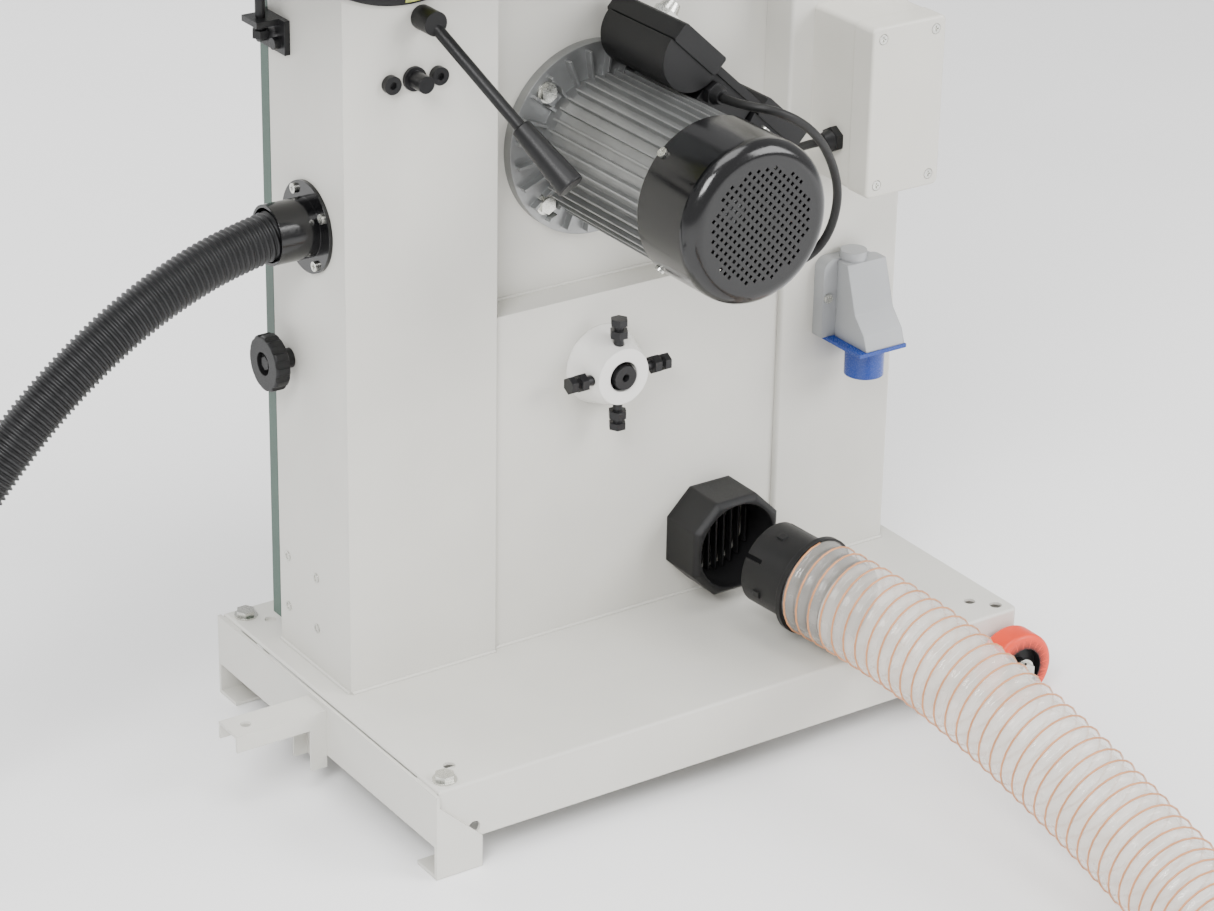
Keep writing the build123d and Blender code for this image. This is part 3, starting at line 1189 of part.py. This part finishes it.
def switch_box():
    """Switch box on the column guard with two button wells."""
    x = COLUMN_RIGHT - 31
    box = block(x - 31, x + 31, FRONT_Y - 46, FRONT_Y, SWITCH_Z - 60, SWITCH_Z + 60)
    box = fillet(box.edges().filter_by(Axis.Y), 6)
    for z in (SWITCH_Z + 28, SWITCH_Z - 28):
        box -= rod((x, FRONT_Y - 47, z), Y_AXIS, 11 + GAP, 25)
    return box


def push_button(z, head_r):
    """Button stem in its well with a head that stands out."""
    x = COLUMN_RIGHT - 31
    stem = rod((x, FRONT_Y - 46 - BUTTON_TRAVEL - 2, z), Y_AXIS, 11, 20)
    head = rod((x, FRONT_Y - 46 - BUTTON_TRAVEL - GAP, z), FORWARD, head_r, 8)
    return stem + fillet(head.edges().filter_by(GeomType.CIRCLE).group_by(Axis.Y)[0], 2.5)


def all_parts():
    """Every node by name."""
    low = lower_door_span()
    high = upper_door_span()
    parts = {
        "base_plate": base_plate(),
        "lift_bracket": lift_bracket(),
        "rear_roller": roller(1),
        "front_roller": roller(-1),
        "hex_bolts": hex_bolts(),
        "lower_cabinet": lower_cabinet(),
        "column": column(),
        "upper_wheel_box": upper_wheel_box(),
        "hinge_leaves": hinge_leaves(),
        "lower_door": door(*low, LOWER_KNOB_Z),
        "upper_door": door(*high, UPPER_KNOB_Z),
        "lower_door_knob": door_knob(LOWER_KNOB_Z),
        "upper_door_knob": door_knob(UPPER_KNOB_Z),
        "lower_wheel": lower_wheel(),
        "lower_wheel_tyre": tyre(LOWER_WHEEL_Z),
        "lower_wheel_bearings": bearings(LOWER_WHEEL_Z),
        "lower_wheel_shaft": lower_shaft(),
        "hub_boss": hub_boss(),
        "hub_adjusting_bolts": hub_bolts(),
        "drive_belt": drive_belt(),
        "motor_flange": motor_flange(),
        "motor_housing": motor_housing(),
        "fan_cover": fan_cover(),
        "rotor_shaft": rotor_shaft(),
        "motor_pulley": motor_pulley(),
        "cooling_fan": cooling_fan(),
        "terminal_box": terminal_box(),
        "small_screws": small_screws(),
        "cable_glands": cable_glands(),
        "control_box": control_box(),
        "control_box_lid": control_box_lid(),
        "inlet_housing": inlet_housing(),
        "inlet_shroud": inlet_shroud(),
        "dust_port": dust_port(),
        "quick_connector": quick_connector(),
        "side_port": side_port(),
        "wall_fittings": wall_fittings(),
        "tilt_stop_bracket": tilt_stop_bracket(),
        "tilt_lock_lever": tilt_lock_lever(),
        "trunnion_cradle": trunnion_cradle(),
        "table": table(),
        "table_trunnion": table_trunnion(),
        "blade": blade(),
        "lower_guide": lower_guide(),
        "upper_guide": upper_guide(),
        "guide_post": guide_post(),
        "guide_handwheel": guide_handwheel(),
        "upper_shaft_carrier": upper_shaft_carrier(),
        "upper_wheel": wheel_casting(UPPER_WHEEL_Z) - bearing_bores(UPPER_WHEEL_Z),
        "upper_wheel_tyre": tyre(UPPER_WHEEL_Z),
        "upper_wheel_bearings": bearings(UPPER_WHEEL_Z),
        "tension_handwheel": tension_handwheel(),
        "switch_box": switch_box(),
        "start_button": push_button(SWITCH_Z + 28, 12),
        "stop_button": push_button(SWITCH_Z - 28, 17),
        "side_hose": hose("side_hose", SIDE_HOSE_ROUTE, SIDE_HOSE_D),
        "clear_hose": hose("clear_hose", CLEAR_HOSE_ROUTE, CLEAR_HOSE_D),
        "side_hose_cuff": hose_cuff(SIDE_HOSE_ROUTE, SIDE_HOSE_D, SIDE_CUFF_L),
        "clear_hose_cuff": hose_cuff(CLEAR_HOSE_ROUTE, CLEAR_HOSE_D, CLEAR_CUFF_L),
        "motor_cable": hose("motor_cable", MOTOR_CABLE_ROUTE, CABLE_D),
    }
    return parts


def as_list(shape):
    """The separate pieces of a node."""
    return shape if isinstance(shape, list) else [shape]


def main():
    """Builds every node, centres the model over the origin and writes the files."""
    left = ROLLER_X - ROLLER_R
    right = TILT_X + TABLE_SIZE / 2
    front = WHEEL_Y - TABLE_SIZE / 2
    back = housing_end() - COVER_LAP + COVER_L
    centring = Pos(-(left + right) / 2, -(front + back) / 2, 0)
    print("centred by", centring.position)
    for name, shape in all_parts().items():
        pieces = [centring * piece for piece in as_list(shape)]
        node = Compound(children=[Part(p.wrapped) for p in pieces]) if len(pieces) > 1 else pieces[0]
        export_step(node, f"parts/{name}.step")


main()
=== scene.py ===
import math

import bmesh
import bpy
from mathutils import Matrix, Vector


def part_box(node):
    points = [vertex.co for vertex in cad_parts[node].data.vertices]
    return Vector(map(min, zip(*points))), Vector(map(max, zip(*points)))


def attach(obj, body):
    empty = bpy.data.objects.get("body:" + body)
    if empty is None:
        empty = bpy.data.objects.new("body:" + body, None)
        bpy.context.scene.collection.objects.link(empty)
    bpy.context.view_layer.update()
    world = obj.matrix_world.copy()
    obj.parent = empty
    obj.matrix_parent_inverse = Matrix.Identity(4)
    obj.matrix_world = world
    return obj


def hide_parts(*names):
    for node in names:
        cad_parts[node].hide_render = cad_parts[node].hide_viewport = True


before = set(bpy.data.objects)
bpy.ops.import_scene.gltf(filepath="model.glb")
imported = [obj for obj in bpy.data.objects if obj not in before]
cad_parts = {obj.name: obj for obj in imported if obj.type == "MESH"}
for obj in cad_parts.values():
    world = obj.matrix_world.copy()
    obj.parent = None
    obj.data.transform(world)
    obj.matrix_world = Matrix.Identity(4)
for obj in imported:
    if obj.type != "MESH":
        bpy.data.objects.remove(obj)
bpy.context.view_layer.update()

# The machine's own axes meet under the middle of its base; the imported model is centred
# under its bounding box. Every length below is in metres.
CENTRING = Vector((-0.06275, 0.04775, 0.0))
MM = 0.001
ROLLER_CORE_R = 0.031
UPPER_FITTINGS_Z = 0.6
LID_GLAND_Z = 0.72
TILT_AXIS_Z = 0.955
SCALE_T = 0.0031  # the scale's plate, just thicker than in the CAD
SCALE_SPAN = 50  # degrees of the strip
SCALE_STRIP = (0.129, 0.148, 0.0002)  # inner and outer reach, half of its thickness

SIDE_HOSE_D = 0.049
SIDE_HOSE_RIB = 0.0057
CLEAR_HOSE_D = 0.104
CLEAR_HOSE_PITCH = 0.017
CLEAR_HOSE_DIP = 0.0042
CABLE_D = 0.009
SIDE_HOSE_ROUTE = [
    (372, -62, 574), (421, -62, 565), (478, -62, 545), (535, -62, 516), (592, -62, 476), (649, -62, 425),
    (704, -62, 364), (757, -62, 294), (807, -62, 217), (863, -62, 139), (934, -56, 75), (1016, -38, 38),
    (1097, -1, 26), (1164, 59, 26), (1209, 137, 26), (1228, 226, 26), (1219, 311, 26),
]
CLEAR_HOSE_ROUTE = [
    (-130, 158, 156), (-147, 256, 149), (-157, 368, 134), (-163, 484, 110), (-165, 600, 80), (-155, 717, 58),
    (-127, 838, 53), (-71, 954, 53), (12, 1054, 53), (115, 1132, 53), (234, 1184, 53), (361, 1206, 53),
]
MOTOR_CABLE_ROUTE = [
    (-32, 105, 687), (-34, 134, 688), (-58, 160, 686), (-100, 158, 660), (-138, 142, 618), (-164, 126, 566),
    (-158, 116, 516), (-124, 110, 494), (-92, 102, 516), (-88, 90, 556), (-112, 72, 586), (-156, 55, 597),
    (-197, 49, 593),
]


def place(point):
    """A point of the machine's axes, in millimetres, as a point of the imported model."""
    return Vector(point) * MM + CENTRING


# ---------------------------------------------------------------- camera

def make_camera():
    """Camera behind and above the machine's rear right corner."""
    yaw, pitch, roll = 0.579, -0.417, 0.010
    forward = Vector((-math.sin(yaw) * math.cos(pitch), -math.cos(yaw) * math.cos(pitch), math.sin(pitch)))
    right = forward.cross(Vector((0, 0, 1))).normalized()
    up = right.cross(forward)
    right, up = right * math.cos(roll) + up * math.sin(roll), up * math.cos(roll) - right * math.sin(roll)
    data = bpy.data.cameras.new("camera")
    data.sensor_width = 36
    data.lens = 105.35
    data.shift_x = 0.0552
    data.shift_y = -0.0704
    data.clip_end = 100
    camera = bpy.data.objects.new("camera", data)
    turn = Matrix((right, up, -forward)).transposed().to_4x4()
    camera.matrix_world = Matrix.Translation(place((1880.2, 2713.6, 1829.9))) @ turn
    bpy.context.scene.collection.objects.link(camera)
    bpy.context.scene.camera = camera


# ---------------------------------------------------------------- meshes

def route_spline(name, route):
    """Curve object whose one NURBS spline has the route's points as its control points."""
    curve = bpy.data.curves.new(name, "CURVE")
    curve.dimensions = "3D"
    curve.resolution_u = 48
    spline = curve.splines.new("NURBS")
    spline.points.add(len(route) - 1)
    for point, spot in zip(spline.points, route):
        point.co = (*place(spot), 1)
    spline.order_u = 3
    spline.use_endpoint_u = True
    obj = bpy.data.objects.new(name, curve)
    bpy.context.scene.collection.objects.link(obj)
    return obj


def spline_points(name, route):
    """Points along the route's NURBS spline."""
    obj = route_spline(name, route)
    mesh = bpy.data.meshes.new_from_object(obj)
    points = [v.co.copy() for v in mesh.vertices]
    curve = obj.data
    bpy.data.objects.remove(obj)
    bpy.data.curves.remove(curve)
    bpy.data.meshes.remove(mesh)
    return points


def spaced(points, step):
    """The same line with its points a steady step apart."""
    total = line_length(points)
    count = max(2, round(total / step))
    even, walked, k = [points[0]], 0.0, 0
    for i in range(1, count):
        target = total * i / count
        while walked + (points[k + 1] - points[k]).length < target:
            walked += (points[k + 1] - points[k]).length
            k += 1
        share = (target - walked) / (points[k + 1] - points[k]).length
        even.append(points[k].lerp(points[k + 1], share))
    return even + [points[-1]]


def line_length(points):
    """Length of a line of points."""
    return sum((b - a).length for a, b in zip(points, points[1:]))


def frames_along(points):
    """A steady pair of side directions at each point of a line."""
    frames = []
    side = Vector((0, 0, 1))
    for k, p in enumerate(points):
        way = (points[min(k + 1, len(points) - 1)] - points[max(k - 1, 0)]).normalized()
        side = (side - way * side.dot(way)).normalized()
        frames.append((p, side.copy(), way.cross(side)))
    return frames


def new_object(name, mesh, material):
    """Linked object with one material."""
    obj = bpy.data.objects.new(name, mesh)
    bpy.context.scene.collection.objects.link(obj)
    mesh.materials.append(material)
    return obj


def tube(name, points, radius_at, sides, material, capped=True):
    """Round tube along points; radius_at gives the radius from the point's number and angle."""
    verts, faces = [], []
    for k, (p, a, b) in enumerate(frames_along(points)):
        for s in range(sides):
            angle = 2 * math.pi * s / sides
            verts.append(p + (a * math.cos(angle) + b * math.sin(angle)) * radius_at(k, angle))
    for k in range(len(points) - 1):
        for s in range(sides):
            t = (s + 1) % sides
            faces.append((k * sides + s, k * sides + t, (k + 1) * sides + t, (k + 1) * sides + s))
    if capped:
        faces.append(tuple(reversed(range(sides))))
        faces.append(tuple(range((len(points) - 1) * sides, len(points) * sides)))
    mesh = bpy.data.meshes.new(name)
    mesh.from_pydata([tuple(v) for v in verts], [], faces)
    mesh.polygons.foreach_set("use_smooth", [len(f) == 4 for f in faces])
    mesh.update()
    return new_object(name, mesh, material)


def boxes(name, specs, material, bevel=0.0004):
    """One mesh of bevelled boxes; each spec is (matrix, size)."""
    bm = bmesh.new()
    for matrix, size in specs:
        bmesh.ops.create_cube(bm, size=1, matrix=matrix @ Matrix.Diagonal((*size, 1)))
    bmesh.ops.bevel(bm, geom=bm.edges[:], offset=bevel, segments=2, affect="EDGES")
    mesh = bpy.data.meshes.new(name)
    bm.to_mesh(mesh)
    bm.free()
    return new_object(name, mesh, material)


# ---------------------------------------------------------------- materials

def shader(name):
    """New material with its node tree, principled shader and texture coordinates."""
    material = bpy.data.materials.new(name)
    material.use_nodes = True
    tree = material.node_tree
    principled = tree.nodes["Principled BSDF"]
    coords = tree.nodes.new("ShaderNodeTexCoord")
    return material, tree, principled, coords.outputs["Object"]


def noise(tree, coords, scale, detail=3.0, stretch=(1, 1, 1)):
    """Noise factor over the piece."""
    mapping = tree.nodes.new("ShaderNodeMapping")
    mapping.inputs["Scale"].default_value = stretch
    tree.links.new(coords, mapping.inputs["Vector"])
    node = tree.nodes.new("ShaderNodeTexNoise")
    node.inputs["Scale"].default_value = scale
    node.inputs["Detail"].default_value = detail
    tree.links.new(mapping.outputs["Vector"], node.inputs["Vector"])
    return node.outputs["Fac"]


def blend_colours(tree, factor, low, high, socket):
    """Colour between low and high by a noise factor."""
    ramp = tree.nodes.new("ShaderNodeValToRGB")
    ramp.color_ramp.elements[0].position = 0.3
    ramp.color_ramp.elements[1].position = 0.7
    ramp.color_ramp.elements[0].color = (*low, 1)
    ramp.color_ramp.elements[1].color = (*high, 1)
    tree.links.new(factor, ramp.inputs["Fac"])
    tree.links.new(ramp.outputs["Color"], socket)


def blend_values(tree, factor, low, high, socket):
    """Value between low and high by a noise factor."""
    spread = tree.nodes.new("ShaderNodeMapRange")
    spread.inputs["From Min"].default_value = 0.3
    spread.inputs["From Max"].default_value = 0.7
    spread.inputs["To Min"].default_value = low
    spread.inputs["To Max"].default_value = high
    tree.links.new(factor, spread.inputs["Value"])
    tree.links.new(spread.outputs["Result"], socket)


def bumped(tree, principled, height, strength, distance, round_edges):
    """Fine relief, with edges rounded for the light where round_edges is not zero."""
    bump = tree.nodes.new("ShaderNodeBump")
    bump.inputs["Strength"].default_value = strength
    bump.inputs["Distance"].default_value = distance
    tree.links.new(height, bump.inputs["Height"])
    if round_edges:
        bevel = tree.nodes.new("ShaderNodeBevel")
        bevel.samples = 4
        bevel.inputs["Radius"].default_value = round_edges
        tree.links.new(bevel.outputs["Normal"], bump.inputs["Normal"])
    tree.links.new(bump.outputs["Normal"], principled.inputs["Normal"])


def surface(name, colour, rough=0.5, metal=0.0, vary=0.06, patch=14.0, grain=700.0,
            relief=0.15, depth=0.0003, edge=0.0012, stretch=(1, 1, 1), coat=0.0, gleam=0.5):
    """Opaque finish whose colour, roughness and relief vary over the piece."""
    material, tree, principled, coords = shader(name)
    broad = noise(tree, coords, patch)
    fine = noise(tree, coords, grain, 2.0, stretch)
    low = [c * (1 - vary) for c in colour]
    high = [min(1.0, c * (1 + vary)) for c in colour]
    blend_colours(tree, broad, low, high, principled.inputs["Base Color"])
    blend_values(tree, fine, max(0.03, rough - 0.07), min(1.0, rough + 0.07), principled.inputs["Roughness"])
    principled.inputs["Metallic"].default_value = metal
    principled.inputs["Coat Weight"].default_value = coat
    principled.inputs["Coat Roughness"].default_value = 0.08
    principled.inputs["Specular IOR Level"].default_value = gleam
    bumped(tree, principled, fine, relief, depth, edge)
    return material


def clear_wall(name, thin, thick):
    """Clear polyurethane skin, a little milky and warm, between two opacities."""
    material, tree, principled, coords = shader(name)
    broad = noise(tree, coords, 30.0)
    blend_colours(tree, broad, (0.80, 0.77, 0.71), (0.90, 0.87, 0.82), principled.inputs["Base Color"])
    blend_values(tree, broad, thin, thick, principled.inputs["Alpha"])
    blend_values(tree, broad, 0.10, 0.18, principled.inputs["Roughness"])
    principled.inputs["IOR"].default_value = 1.5
    principled.inputs["Coat Weight"].default_value = 0.6
    principled.inputs["Coat Roughness"].default_value = 0.06
    bumped(tree, principled, noise(tree, coords, 120.0), 0.10, 0.0008, 0)
    return material


def materials():
    """Every finish by name."""
    return {
        "cream": surface("cream_paint", (0.63, 0.62, 0.575), 0.48, vary=0.02, grain=1100, relief=0.22),
        "green": surface("green_paint", (0.035, 0.075, 0.055), 0.42, vary=0.08, grain=1000),
        "grey_steel": surface("grey_steel", (0.50, 0.50, 0.46), 0.5, vary=0.04),
        "zinc": surface("zinc", (0.62, 0.62, 0.58), 0.28, 1.0, vary=0.10, patch=90, edge=0.0005),
        "oxide": surface("black_oxide", (0.012, 0.012, 0.013), 0.36, 0.2, gleam=0.4, vary=0.2, patch=60, edge=0.0008),
        "steel": surface("turned_steel", (0.48, 0.49, 0.50), 0.30, 1.0, vary=0.06, grain=400, stretch=(1, 1, 8)),
        "blade": surface("blade_steel", (0.40, 0.41, 0.43), 0.32, 1.0, vary=0.06, edge=0.0002, stretch=(6, 6, 1)),
        "iron": surface("cast_iron", (0.30, 0.31, 0.31), 0.42, 0.8, vary=0.08, grain=300, relief=0.2),
        "wheel": surface("wheel_casting", (0.10, 0.105, 0.11), 0.6, 0.2, vary=0.12, grain=260, relief=0.5),
        "alloy": surface("motor_alloy", (0.30, 0.305, 0.305), 0.38, 0.75, vary=0.09, patch=40, grain=320, relief=0.35),
        "enamel": surface("boss_enamel", (0.74, 0.73, 0.70), 0.16, vary=0.02, relief=0.05, edge=0.002, coat=0.6),
        "black": surface("black_plastic", (0.008, 0.008, 0.0085), 0.42, vary=0.2, grain=900, relief=0.3, gleam=0.3),
        "gloss": surface("gloss_black", (0.004, 0.004, 0.0045), 0.16, vary=0.2, relief=0.04, edge=0.001, gleam=0.5),
        "cream_plastic": surface("cream_plastic", (0.61, 0.595, 0.54), 0.38, vary=0.02, grain=1500, relief=0.1),
        "grey_plastic": surface("grey_plastic", (0.36, 0.37, 0.38), 0.36, vary=0.03, relief=0.06, edge=0.002),
        "blue": surface("blue_plastic", (0.008, 0.045, 0.28), 0.26, vary=0.06, relief=0.05),
        "red": surface("red_plastic", (0.50, 0.018, 0.012), 0.28, vary=0.05, relief=0.05),
        "green_cap": surface("green_plastic", (0.015, 0.26, 0.06), 0.28, vary=0.05, relief=0.05),
        "tyre": surface("tyre_rubber", (0.03, 0.03, 0.03), 0.7, vary=0.2, relief=0.3),
        "tread": surface("orange_tread", (0.74, 0.045, 0.010), 0.42, vary=0.06, patch=40, relief=0.1),
        "belt": surface("belt_rubber", (0.02, 0.02, 0.02), 0.65, vary=0.2),
        "hose": surface("hose_black", (0.010, 0.010, 0.0105), 0.42, gleam=0.4, vary=0.3, patch=90, grain=500, edge=0),
        "cable": surface("cable_black", (0.008, 0.008, 0.008), 0.5, gleam=0.35, vary=0.25, patch=60, edge=0),
        "copper": surface("helix_wire", (0.60, 0.27, 0.12), 0.4, 0.2, vary=0.12, patch=40, edge=0),
        "mark": surface("scale_mark", (0.40, 0.44, 0.10), 0.5, vary=0.1, patch=200, edge=0),
        "port": surface("port_plastic", (0.008, 0.008, 0.0085), 0.45, vary=0.2, grain=900, relief=0.3, edge=0.005, gleam=0.3),
        "clear": clear_wall("clear_wall", 0.26, 0.34),
        "lining": clear_wall("clear_lining", 0.42, 0.52),
    }


NODE_FINISH = {
    "cream": ["base_plate", "lift_bracket", "lower_cabinet", "column", "upper_wheel_box"],
    "green": ["lower_door", "upper_door"],
    "grey_steel": ["hinge_leaves"],
    "zinc": ["hex_bolts", "small_screws", "wall_fittings"],
    "oxide": ["lower_wheel_shaft", "hub_adjusting_bolts", "tilt_stop_bracket", "lower_guide", "upper_guide"],
    "steel": ["lower_wheel_bearings", "upper_wheel_bearings", "rotor_shaft", "guide_post"],
    "blade": ["blade"],
    "iron": ["table", "table_trunnion", "trunnion_cradle", "upper_shaft_carrier"],
    "wheel": ["lower_wheel", "upper_wheel", "motor_pulley"],
    "alloy": ["motor_flange", "motor_housing"],
    "enamel": ["hub_boss"],
    "black": [
        "lower_door_knob", "upper_door_knob", "cooling_fan", "terminal_box", "cable_glands",
        "quick_connector", "guide_handwheel", "tension_handwheel", "switch_box",
        "clear_hose_cuff", "side_hose_cuff", "tilt_lock_lever",
    ],
    "port": ["dust_port"],
    "gloss": ["fan_cover", "side_port"],
    "cream_plastic": ["control_box", "control_box_lid"],
    "grey_plastic": ["inlet_housing"],
    "blue": ["inlet_shroud"],
    "red": ["stop_button"],
    "green_cap": ["start_button"],
    "tyre": ["lower_wheel_tyre", "upper_wheel_tyre"],
    "tread": ["rear_roller", "front_roller"],
    "belt": ["drive_belt"],
}


def finish_nodes(nodes, finishes):
    """Gives each CAD node its finish."""
    for finish, names in NODE_FINISH.items():
        for name in names:
            mesh = nodes[name].data
            mesh.materials.clear()
            mesh.materials.append(finishes[finish])


def recolour(node, material, chosen):
    """Gives a second finish to the faces of a node whose centres are chosen."""
    mesh = node.data
    mesh.materials.append(material)
    slot = len(mesh.materials) - 1
    for face in mesh.polygons:
        if chosen(face.center):
            face.material_index = slot


def second_finishes(nodes, finishes):
    """Roller cores, the upper wall fittings, the lid gland and the tilt scale's plate."""
    for name in ("rear_roller", "front_roller"):
        lo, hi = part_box(name)
        centre = (lo + hi) / 2
        recolour(nodes[name], finishes["black"],
                 lambda p, c=centre: math.hypot(p.x - c.x, p.z - c.z) < ROLLER_CORE_R)
    recolour(nodes["wall_fittings"], finishes["oxide"], lambda p: p.z > UPPER_FITTINGS_Z)
    recolour(nodes["cable_glands"], finishes["zinc"], lambda p: p.z > LID_GLAND_Z)
    scale_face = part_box("table_trunnion")[1].y
    recolour(nodes["table_trunnion"], finishes["black"], lambda p: p.y > scale_face - SCALE_T)


# ---------------------------------------------------------------- hoses and cable

def ribbed_hose(finishes):
    """Black hose with its moulded ribs."""
    depths = [0.0, 0.0006, 0.0024, 0.0031, 0.0024, 0.0006]
    line = spline_points("side_hose_route", SIDE_HOSE_ROUTE)
    points = spaced(line, SIDE_HOSE_RIB / len(depths))
    crest = SIDE_HOSE_D / 2 - 0.0002

    def radius(k, angle):
        return crest - depths[k % len(depths)]

    hose = tube("ribbed_hose", points, radius, 36, finishes["hose"])
    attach(hose, "frame")
    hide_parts("side_hose")


def clear_hose(finishes):
    """Clear hose wall that swells over its helix wire, with the connector's tail inside."""
    line = spline_points("clear_hose_route", CLEAR_HOSE_ROUTE)
    points = spaced(line, CLEAR_HOSE_PITCH / 8)
    outer = CLEAR_HOSE_D / 2 - 0.0003
    spacing = line_length(points) / (len(points) - 1)

    def radius(k, angle):
        turn = k * spacing / CLEAR_HOSE_PITCH - angle / (2 * math.pi)
        return outer - 0.001 - CLEAR_HOSE_DIP * (1 - abs(math.cos(math.pi * turn)))

    wall = tube("clear_hose_wall", points, radius, 40, finishes["clear"], capped=False)
    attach(wall, "frame")
    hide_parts("clear_hose")
    wire = helix(points, outer - 0.0009, 0.0011, finishes["copper"])
    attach(wire, "frame")
    inner = outer - CLEAR_HOSE_DIP - 0.0012
    beyond = spaced(line, 0.004)[12:]
    lining = tube("clear_hose_lining", beyond, lambda k, angle: inner, 36, finishes["lining"], capped=False)
    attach(lining, "frame")
    tail = tube("connector_tail", spaced(line, 0.003)[:16], lambda k, angle: 0.0455, 48, finishes["black"], capped=False)
    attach(tail, "frame")


def helix(points, radius, wire, material):
    """Wire helix round a line of points."""
    spacing = line_length(points) / (len(points) - 1)
    frames = frames_along(points)
    per_turn = 24
    total = int(line_length(points) / CLEAR_HOSE_PITCH * per_turn)
    line = []
    for i in range(total):
        along = i * CLEAR_HOSE_PITCH / per_turn / spacing
        k = min(int(along), len(frames) - 2)
        share = along - k
        p = frames[k][0].lerp(frames[k + 1][0], share)
        angle = 2 * math.pi * i / per_turn
        line.append(p + (frames[k][1] * math.cos(angle) + frames[k][2] * math.sin(angle)) * radius)
    return tube("hose_helix", line, lambda k, angle: wire, 6, material)


def motor_cable(finishes):
    """Round cable from the terminal box to the control box."""
    points = spaced(spline_points("motor_cable_route", MOTOR_CABLE_ROUTE), 0.003)
    cable = tube("motor_cable_sheath", points, lambda k, angle: CABLE_D / 2, 20, finishes["cable"])
    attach(cable, "frame")
    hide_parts("motor_cable")


# ---------------------------------------------------------------- small details

def scale_point(centre, degrees, reach, lift):
    """Point on the rear face of the tilt scale, at an angle from straight down."""
    turn = math.radians(degrees)
    return centre + Vector((math.sin(turn) * reach, lift, -math.cos(turn) * reach))


def scale_strip(centre, finishes):
    """Thin yellow strip of the tilt scale, from its zero mark to one side."""
    inner, outer, lift = SCALE_STRIP
    section = [(inner, -lift), (outer, -lift), (outer, lift), (inner, lift)]
    points = [scale_point(centre, degrees, reach, y)
              for degrees in range(2, -SCALE_SPAN - 1, -1) for reach, y in section]
    steps = SCALE_SPAN + 2
    faces = [(4 * k + a, 4 * k + 4 + a, 4 * k + 4 + (a + 1) % 4, 4 * k + (a + 1) % 4)
             for k in range(steps) for a in range(4)]
    faces += [(0, 1, 2, 3), (4 * steps + 3, 4 * steps + 2, 4 * steps + 1, 4 * steps)]
    mesh = bpy.data.meshes.new("tilt_scale_strip")
    mesh.from_pydata(points, [], faces)
    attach(new_object("tilt_scale_strip", mesh, finishes["mark"]), "table")


def tilt_scale(finishes):
    """Yellow strip and black degree marks on the rear face of the tilt scale."""
    lo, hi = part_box("table_trunnion")
    centre = Vector(((lo.x + hi.x) / 2, hi.y, TILT_AXIS_Z))
    scale_strip(centre, finishes)
    specs = []
    for degrees in range(-SCALE_SPAN, 1, 2):
        length = 0.012 if degrees % 10 == 0 else 0.007
        spot = scale_point(centre, degrees, 0.146 - length / 2, 0.0003)
        turned = Matrix.Rotation(-math.radians(degrees), 4, "Y")
        specs.append((Matrix.Translation(spot) @ turned, (0.0009, 0.0004, length)))
    marks = boxes("tilt_scale_marks", specs, finishes["oxide"], 0.0001)
    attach(marks, "table")


def weld_line(name, start, end, radius, material):
    """Row of weld ripples between two points of the machine's axes."""
    a, b = place(start), place(end)
    count = int((b - a).length / 0.0012)
    points = [a.lerp(b, k / count) for k in range(count + 1)]
    bead = tube(name, points, lambda k, angle: radius * (0.86 + 0.14 * math.cos(k * 1.6)), 10, material)
    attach(bead, "frame")


def welds(finishes):
    """Welded seams of the cabinet foot and the ledge."""
    cream = finishes["cream"]
    weld_line("foot_weld_middle", (-187, 1, 95), (160, 1, 95), 0.0022, cream)
    weld_line("foot_weld_pillar", (162, 7, 95), (331, 7, 95), 0.0022, cream)
    weld_line("foot_weld_column", (-336, 7, 95), (-190, 7, 95), 0.0022, cream)
    weld_line("foot_weld_side", (333, -134, 95), (333, 5, 95), 0.0022, cream)
    weld_line("ledge_weld", (-187, -36, 463), (160, -36, 463), 0.0020, cream)


def port_grille(finishes):
    """Upright bars of the guard inside the dust port."""
    lo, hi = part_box("dust_port")
    centre = (lo + hi) / 2
    bars = []
    for k in range(-4, 5):
        x = k * 0.0095
        height = 2 * math.sqrt(0.0435 ** 2 - x ** 2)
        bars.append((Matrix.Translation((centre.x + x, lo.y + 0.012, centre.z)), (0.0022, 0.008, height)))
    grille = boxes("port_grille", bars, finishes["black"], 0.0003)
    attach(grille, "frame")


def make_stage(finishes):
    """Pale floor, soft lights and a pale surrounding."""
    mesh = bpy.data.meshes.new("floor")
    mesh.from_pydata([(-14, -14, -0.0005), (14, -14, -0.0005), (14, 14, -0.0005), (-14, 14, -0.0005)], [], [(0, 1, 2, 3)])
    floor = new_object("floor", mesh, surface("floor_paint", (0.95, 0.95, 0.95), 0.7, vary=0.01, patch=3, edge=0))
    light("key_light", (3.4, 3.0, 4.2), (0, 0, 0.6), 2.2, 330)
    light("fill_light", (-3.2, 3.4, 2.6), (0, 0, 0.5), 2.6, 210)
    light("top_light", (0.3, 0.6, 4.6), (0, 0, 0.4), 2.6, 130)
    light("front_light", (1.2, -4.2, 3.0), (0, 0, 1.0), 3.0, 130)
    world = bpy.data.worlds.new("surround")
    bpy.context.scene.world = world
    world.use_nodes = True
    background = world.node_tree.nodes["Background"]
    background.inputs["Color"].default_value = (1.0, 1.0, 1.0, 1)
    background.inputs["Strength"].default_value = 0.75


def light(name, spot, target, size, power):
    """Square area light that points at target."""
    data = bpy.data.lights.new(name, "AREA")
    data.size = size
    data.energy = power
    lamp = bpy.data.objects.new(name, data)
    lamp.location = spot
    lamp.rotation_euler = (Vector(target) - Vector(spot)).to_track_quat("-Z", "Y").to_euler()
    bpy.context.scene.collection.objects.link(lamp)


make_camera()
FINISHES = materials()
ribbed_hose(FINISHES)
clear_hose(FINISHES)
motor_cable(FINISHES)
finish_nodes(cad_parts, FINISHES)
second_finishes(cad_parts, FINISHES)
tilt_scale(FINISHES)
port_grille(FINISHES)
welds(FINISHES)
make_stage(FINISHES)
